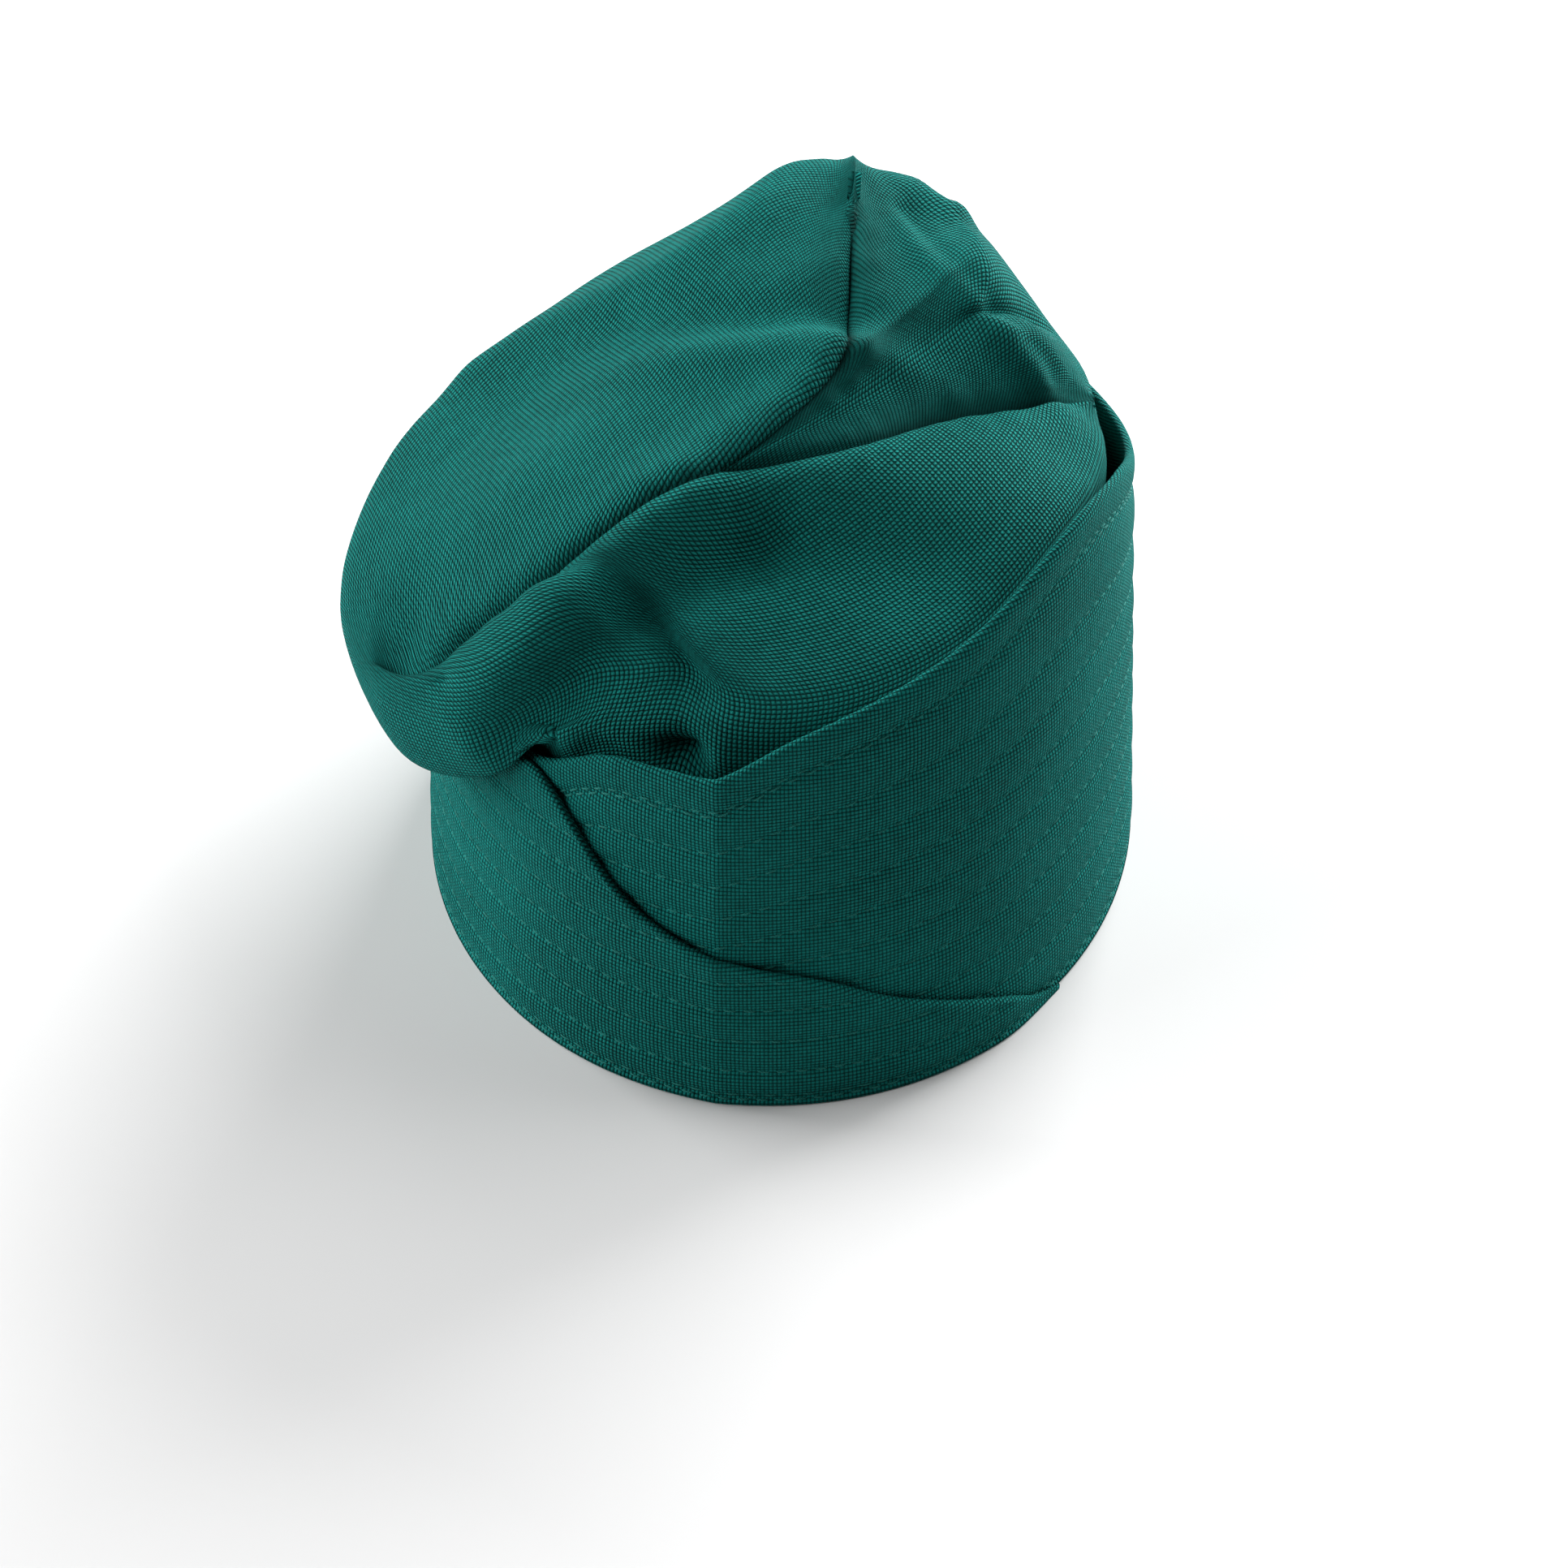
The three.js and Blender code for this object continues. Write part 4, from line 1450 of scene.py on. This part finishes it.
def weave_group(form: WeaveForm) -> bpy.types.NodeTree:
    """Builds the weave effect from flat cloth coordinates: a height, a shade and a fibre mask. The shade is
    painted shade, darker in the gaps between threads, with real slub tone mixed in.
    """
    inputs = {"Pitch": form.pitch, "Stretch": form.stretch, "Wander": form.wander}
    tree = new_group("Weave", inputs, ("Height", "Shade", "Fibre"))
    graph = NodeGraph(tree)
    source = graph.add("NodeGroupInput")
    target = graph.add("NodeGroupOutput")
    flat = graph.add("ShaderNodeUVMap", uv_map=CLOTH_MAP).outputs[0]
    wander = graph.add("ShaderNodeTexNoise", {"Vector": flat, "Scale": form.wander_scale, "Detail": 2.0})
    split = graph.add("ShaderNodeSeparateXYZ", {0: flat})
    bend = graph.add("ShaderNodeSeparateXYZ", {0: wander.outputs["Color"]})
    pitch, stretch, amount = (source.outputs[name] for name in inputs)
    warp = graph.plus(graph.math("DIVIDE", split.outputs[0], pitch), bend.outputs[0], amount)
    tall = graph.math("MULTIPLY", pitch, stretch)
    weft = graph.plus(graph.math("DIVIDE", split.outputs[1], tall), bend.outputs[1], amount)
    warp_part = graph.math("FRACT", warp)
    weft_part = graph.math("FRACT", weft)
    cell = graph.math("ADD", graph.math("FLOOR", warp), graph.math("FLOOR", weft))
    odd = graph.math("FLOORED_MODULO", cell, 2.0)
    even = graph.math("SUBTRACT", 1.0, odd)
    warp_arch = graph.math("SINE", graph.math("MULTIPLY", warp_part, math.pi))
    weft_arch = graph.math("SINE", graph.math("MULTIPLY", weft_part, math.pi))
    crossing = graph.math("SQRT", graph.math("MULTIPLY", warp_arch, weft_arch))
    over = graph.math("POWER", warp_arch, form.arch_power)
    under = graph.math("POWER", weft_arch, form.arch_power)
    chosen = graph.plus(graph.math("MULTIPLY", odd, over), even, under)
    dome = graph.math("MULTIPLY", crossing, form.dome_share)
    height = graph.plus(dome, chosen, 1 - form.dome_share)
    twist = graph.plus(graph.math("MULTIPLY", warp_part, form.twists), weft_part, form.twists)
    fine = {"Vector": flat, "Scale": form.fibre_scale, "Detail": 2.0, "Distortion": form.fibre_bend}
    fibre = graph.add("ShaderNodeTexNoise", fine).outputs["Fac"]
    ply = graph.math("SINE", graph.math("MULTIPLY", twist, math.pi))
    rough_height = graph.plus(graph.plus(height, ply, form.twist_height), fibre, form.fibre_height)
    coarse = {"Vector": flat, "Scale": form.slub_scale, "Detail": 3.0}
    slub = graph.add("ShaderNodeTexNoise", coarse).outputs["Fac"]
    # Painted shade: low places between threads get a darker colour; the slub noise adds real tone that
    # differs at random
    shade = graph.math("MULTIPLY", height, graph.plus(form.slub_least, slub, form.slub_reach))
    tree.links.new(rough_height, target.inputs["Height"])
    tree.links.new(shade, target.inputs["Shade"])
    tree.links.new(fibre, target.inputs["Fibre"])
    return tree


def wear_group(form: WearForm) -> bpy.types.NodeTree:
    """Builds the wear effect: soft fading in patches."""
    tree = new_group("Wear", {"Scale": form.scale, "Amount": form.amount}, ("Fade",))
    graph = NodeGraph(tree)
    source = graph.add("NodeGroupInput")
    target = graph.add("NodeGroupOutput")
    place = graph.add("ShaderNodeTexCoord").outputs["Object"]
    spots = {"Vector": place, "Scale": source.outputs["Scale"], "Detail": 3.0}
    patches = graph.add("ShaderNodeTexNoise", spots).outputs["Fac"]
    limits = {"Value": patches, "From Min": form.low, "From Max": form.high}
    spread = graph.add("ShaderNodeMapRange", limits).outputs["Result"]
    fade = graph.math("MULTIPLY", spread, source.outputs["Amount"])
    tree.links.new(fade, target.inputs["Fade"])
    return tree


def cloth_material(
    finish: ClothFinish, weave: bpy.types.NodeTree, wear: bpy.types.NodeTree
) -> bpy.types.Material:
    """Makes a woven cloth material.

    Args:
        finish: The cloth's colours and surface.
        weave: The weave group.
        wear: The wear group.

    Returns:
        The material.
    """
    material = bpy.data.materials.new(finish.name)
    material.use_nodes = True
    graph = NodeGraph(material.node_tree)
    shader = material.node_tree.nodes["Principled BSDF"]
    threads = graph.add("ShaderNodeGroup", node_tree=weave)
    threads.inputs["Pitch"].default_value = finish.pitch
    threads.inputs["Stretch"].default_value = finish.stretch
    faded = graph.add("ShaderNodeGroup", node_tree=wear)
    # Painted shade: the weave's shade mixes from the dark colour in the gaps between threads to the light
    # colour on their tops
    low, high = finish.shade_range
    limits = {"Value": threads.outputs["Shade"], "From Min": low, "From Max": high}
    shade = graph.add("ShaderNodeMapRange", limits)
    base = graph.mix(shade.outputs["Result"], finish.dark, finish.light)
    fading = graph.math("MULTIPLY", faded.outputs["Fade"], finish.fade)
    pale = tuple(min(1.0, channel * finish.paler) for channel in finish.light)
    worn = graph.mix(fading, base, pale)
    fine = graph.math("POWER", threads.outputs["Fibre"], finish.fleck_power)
    flecked = graph.mix(graph.math("MULTIPLY", fine, finish.fleck), worn, pale)
    # Painted shade: along the crown's seam groove the colour is mixed towards the dark colour
    seam = graph.add("ShaderNodeAttribute", attribute_name=SEAM_SHADE_MASK)
    final = graph.mix(graph.math("MULTIPLY", seam.outputs["Fac"], finish.painted_seam_shade), flecked, finish.dark)
    relief = {"Height": threads.outputs["Height"], "Strength": 1.0, "Distance": finish.depth}
    bump = graph.add("ShaderNodeBump", relief)
    material.node_tree.links.new(final, shader.inputs["Base Color"])
    material.node_tree.links.new(bump.outputs["Normal"], shader.inputs["Normal"])
    shader.inputs["Roughness"].default_value = finish.roughness
    shader.inputs["Specular IOR Level"].default_value = finish.specular
    shader.inputs["Sheen Weight"].default_value = finish.sheen
    shader.inputs["Sheen Roughness"].default_value = finish.sheen_roughness
    shader.inputs["Sheen Tint"].default_value = (*finish.sheen_tint, 1.0)
    return material


def thread_material(finish: ThreadFinish) -> bpy.types.Material:
    """Makes the sewing thread's material."""
    material = bpy.data.materials.new(finish.name)
    material.use_nodes = True
    graph = NodeGraph(material.node_tree)
    shader = material.node_tree.nodes["Principled BSDF"]
    place = graph.add("ShaderNodeTexCoord").outputs["Object"]
    turns = {"Vector": place, "Scale": finish.twist_scale, "Distortion": finish.twist_bend}
    twist = graph.add("ShaderNodeTexWave", turns, bands_direction="DIAGONAL").outputs["Fac"]
    spots = {"Vector": place, "Scale": finish.tone_scale, "Detail": 2.0}
    tone = graph.add("ShaderNodeTexNoise", spots).outputs["Fac"]
    factor = graph.plus(graph.math("MULTIPLY", twist, finish.twist_share), tone, 1 - finish.twist_share)
    material.node_tree.links.new(graph.mix(factor, finish.dark, finish.light), shader.inputs["Base Color"])
    relief = {"Height": twist, "Strength": finish.twist_strength, "Distance": finish.twist_depth}
    bump = graph.add("ShaderNodeBump", relief)
    material.node_tree.links.new(bump.outputs["Normal"], shader.inputs["Normal"])
    shader.inputs["Roughness"].default_value = finish.roughness
    shader.inputs["Specular IOR Level"].default_value = finish.specular
    shader.inputs["Sheen Weight"].default_value = finish.sheen
    return material


# Studio


@dataclass(frozen=True)
class Lamp:
    """A soft square light. Its place and size are in metres, and its power is in watts."""

    name: str
    place: tuple[float, float, float]
    size: float
    watts: float


@dataclass(frozen=True)
class Studio:
    """The camera, lights and floor round the hat."""

    origin: Vector
    view: PhotoView
    sensor: float = 36.0
    nearest: float = 0.05
    farthest: float = 20.0
    aim: tuple[float, float, float] = (0, 0, 0.07)
    floor_reach: float = 6.0
    floor_tone: float = 0.7
    floor_roughness: float = 0.9
    air: tuple[float, float, float] = (0.95, 0.97, 1)
    air_strength: float = 0.04
    lamps: tuple[Lamp, ...] = (
        Lamp("left_light", (-1.41, 0.51, 0.62), 1.0, 34.0),
        Lamp("left_fill", (-1.42, -0.55, 0.62), 1.0, 17.0),
        Lamp("right_light", (0.75, 1.3, 0.62), 1.2, 70.0),
        Lamp("right_fill", (1.06, 0.39, 1.2), 1.2, 16.0),
    )

    def camera(self) -> None:
        """Places the camera at the photo's angle."""
        lens = bpy.data.cameras.new("photo_camera")
        lens.sensor_width = self.sensor
        lens.lens = self.sensor * self.view.focal / self.view.picture
        lens.clip_start = self.nearest
        lens.clip_end = self.farthest
        camera = bpy.data.objects.new("photo_camera", lens)
        camera.location = self.origin + Vector(self.view.place) * MM
        camera.rotation_euler = Matrix(self.view.axes.tolist()).transposed().to_euler()
        bpy.context.scene.collection.objects.link(camera)
        bpy.context.scene.camera = camera

    def light(self, lamp: Lamp) -> None:
        """Adds a light that looks at the hat."""
        data = bpy.data.lights.new(lamp.name, "AREA")
        data.size = lamp.size
        data.energy = lamp.watts
        obj = bpy.data.objects.new(lamp.name, data)
        obj.location = Vector(lamp.place)
        way = Vector(self.aim) - obj.location
        obj.rotation_euler = way.to_track_quat("-Z", "Y").to_euler()
        bpy.context.scene.collection.objects.link(obj)

    def floor(self) -> None:
        """Lays a large pale floor."""
        reach = self.floor_reach
        corners = np.array([[-reach, -reach, 0], [reach, -reach, 0], [reach, reach, 0], [-reach, reach, 0]])
        floor = make_mesh("floor", corners, np.array([[0, 1, 2, 3]]))
        material = bpy.data.materials.new("floor_paint")
        material.use_nodes = True
        shader = material.node_tree.nodes["Principled BSDF"]
        shader.inputs["Base Color"].default_value = (self.floor_tone, self.floor_tone, self.floor_tone, 1)
        shader.inputs["Roughness"].default_value = self.floor_roughness
        floor.data.materials.append(material)

    def world(self) -> None:
        """Fills the room with plain pale light."""
        world = bpy.data.worlds.new("studio")
        world.use_nodes = True
        world.node_tree.nodes["Background"].inputs["Color"].default_value = (*self.air, 1)
        world.node_tree.nodes["Background"].inputs["Strength"].default_value = self.air_strength
        bpy.context.scene.world = world

    def build(self) -> None:
        """Builds the whole studio."""
        self.camera()
        self.world()
        self.floor()
        for lamp in self.lamps:
            self.light(lamp)
        scene = bpy.context.scene
        scene.view_settings.view_transform = "Standard"
        scene.view_settings.look = "None"


def frame_origin(band: BandForm) -> Vector:
    """Where the rim's middle lies in the frame, from the wraps' boxes."""
    left_low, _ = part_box(Side.LEFT.value)
    _, right_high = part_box(Side.RIGHT.value)
    across = right_high[0] - (band.half_width - band.layer) * MM
    along = left_low[1] + band.half_depth * MM
    return Vector((across, along, 0))


CROWN_FINISH = ClothFinish("crown_weave", (0.008, 0.205, 0.182), pitch=0.00115, stretch=0.9, depth=0.0009)
WRAP_FINISH = ClothFinish("wrap_weave", (0.006, 0.185, 0.165), pitch=0.00105, stretch=0.95, depth=0.0007)


def main() -> None:
    """Builds the hat's pieces in order and reports each one."""
    logging.basicConfig(level=logging.INFO, format="%(message)s")
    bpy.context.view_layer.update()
    band = BandForm()
    origin = frame_origin(band)
    weave = weave_group(WeaveForm())
    wear = wear_group(WearForm())
    crown_cloth = cloth_material(CROWN_FINISH, weave, wear)
    wrap_cloth = cloth_material(WRAP_FINISH, weave, wear)
    thread = thread_material(ThreadFinish())
    for wrap in (WrapPiece(band, Side.RIGHT, origin), WrapPiece(band, Side.LEFT, origin)):
        LOG.info("made %s", wrap.build(wrap_cloth).name)
        LOG.info("made %s", wrap.stitches(thread).name)
    view = PhotoView()
    LOG.info("made %s", CrownPiece(CrownForm(band), origin, view).build(crown_cloth).name)
    Studio(origin, view).build()


if __name__ == "__main__":
    main()
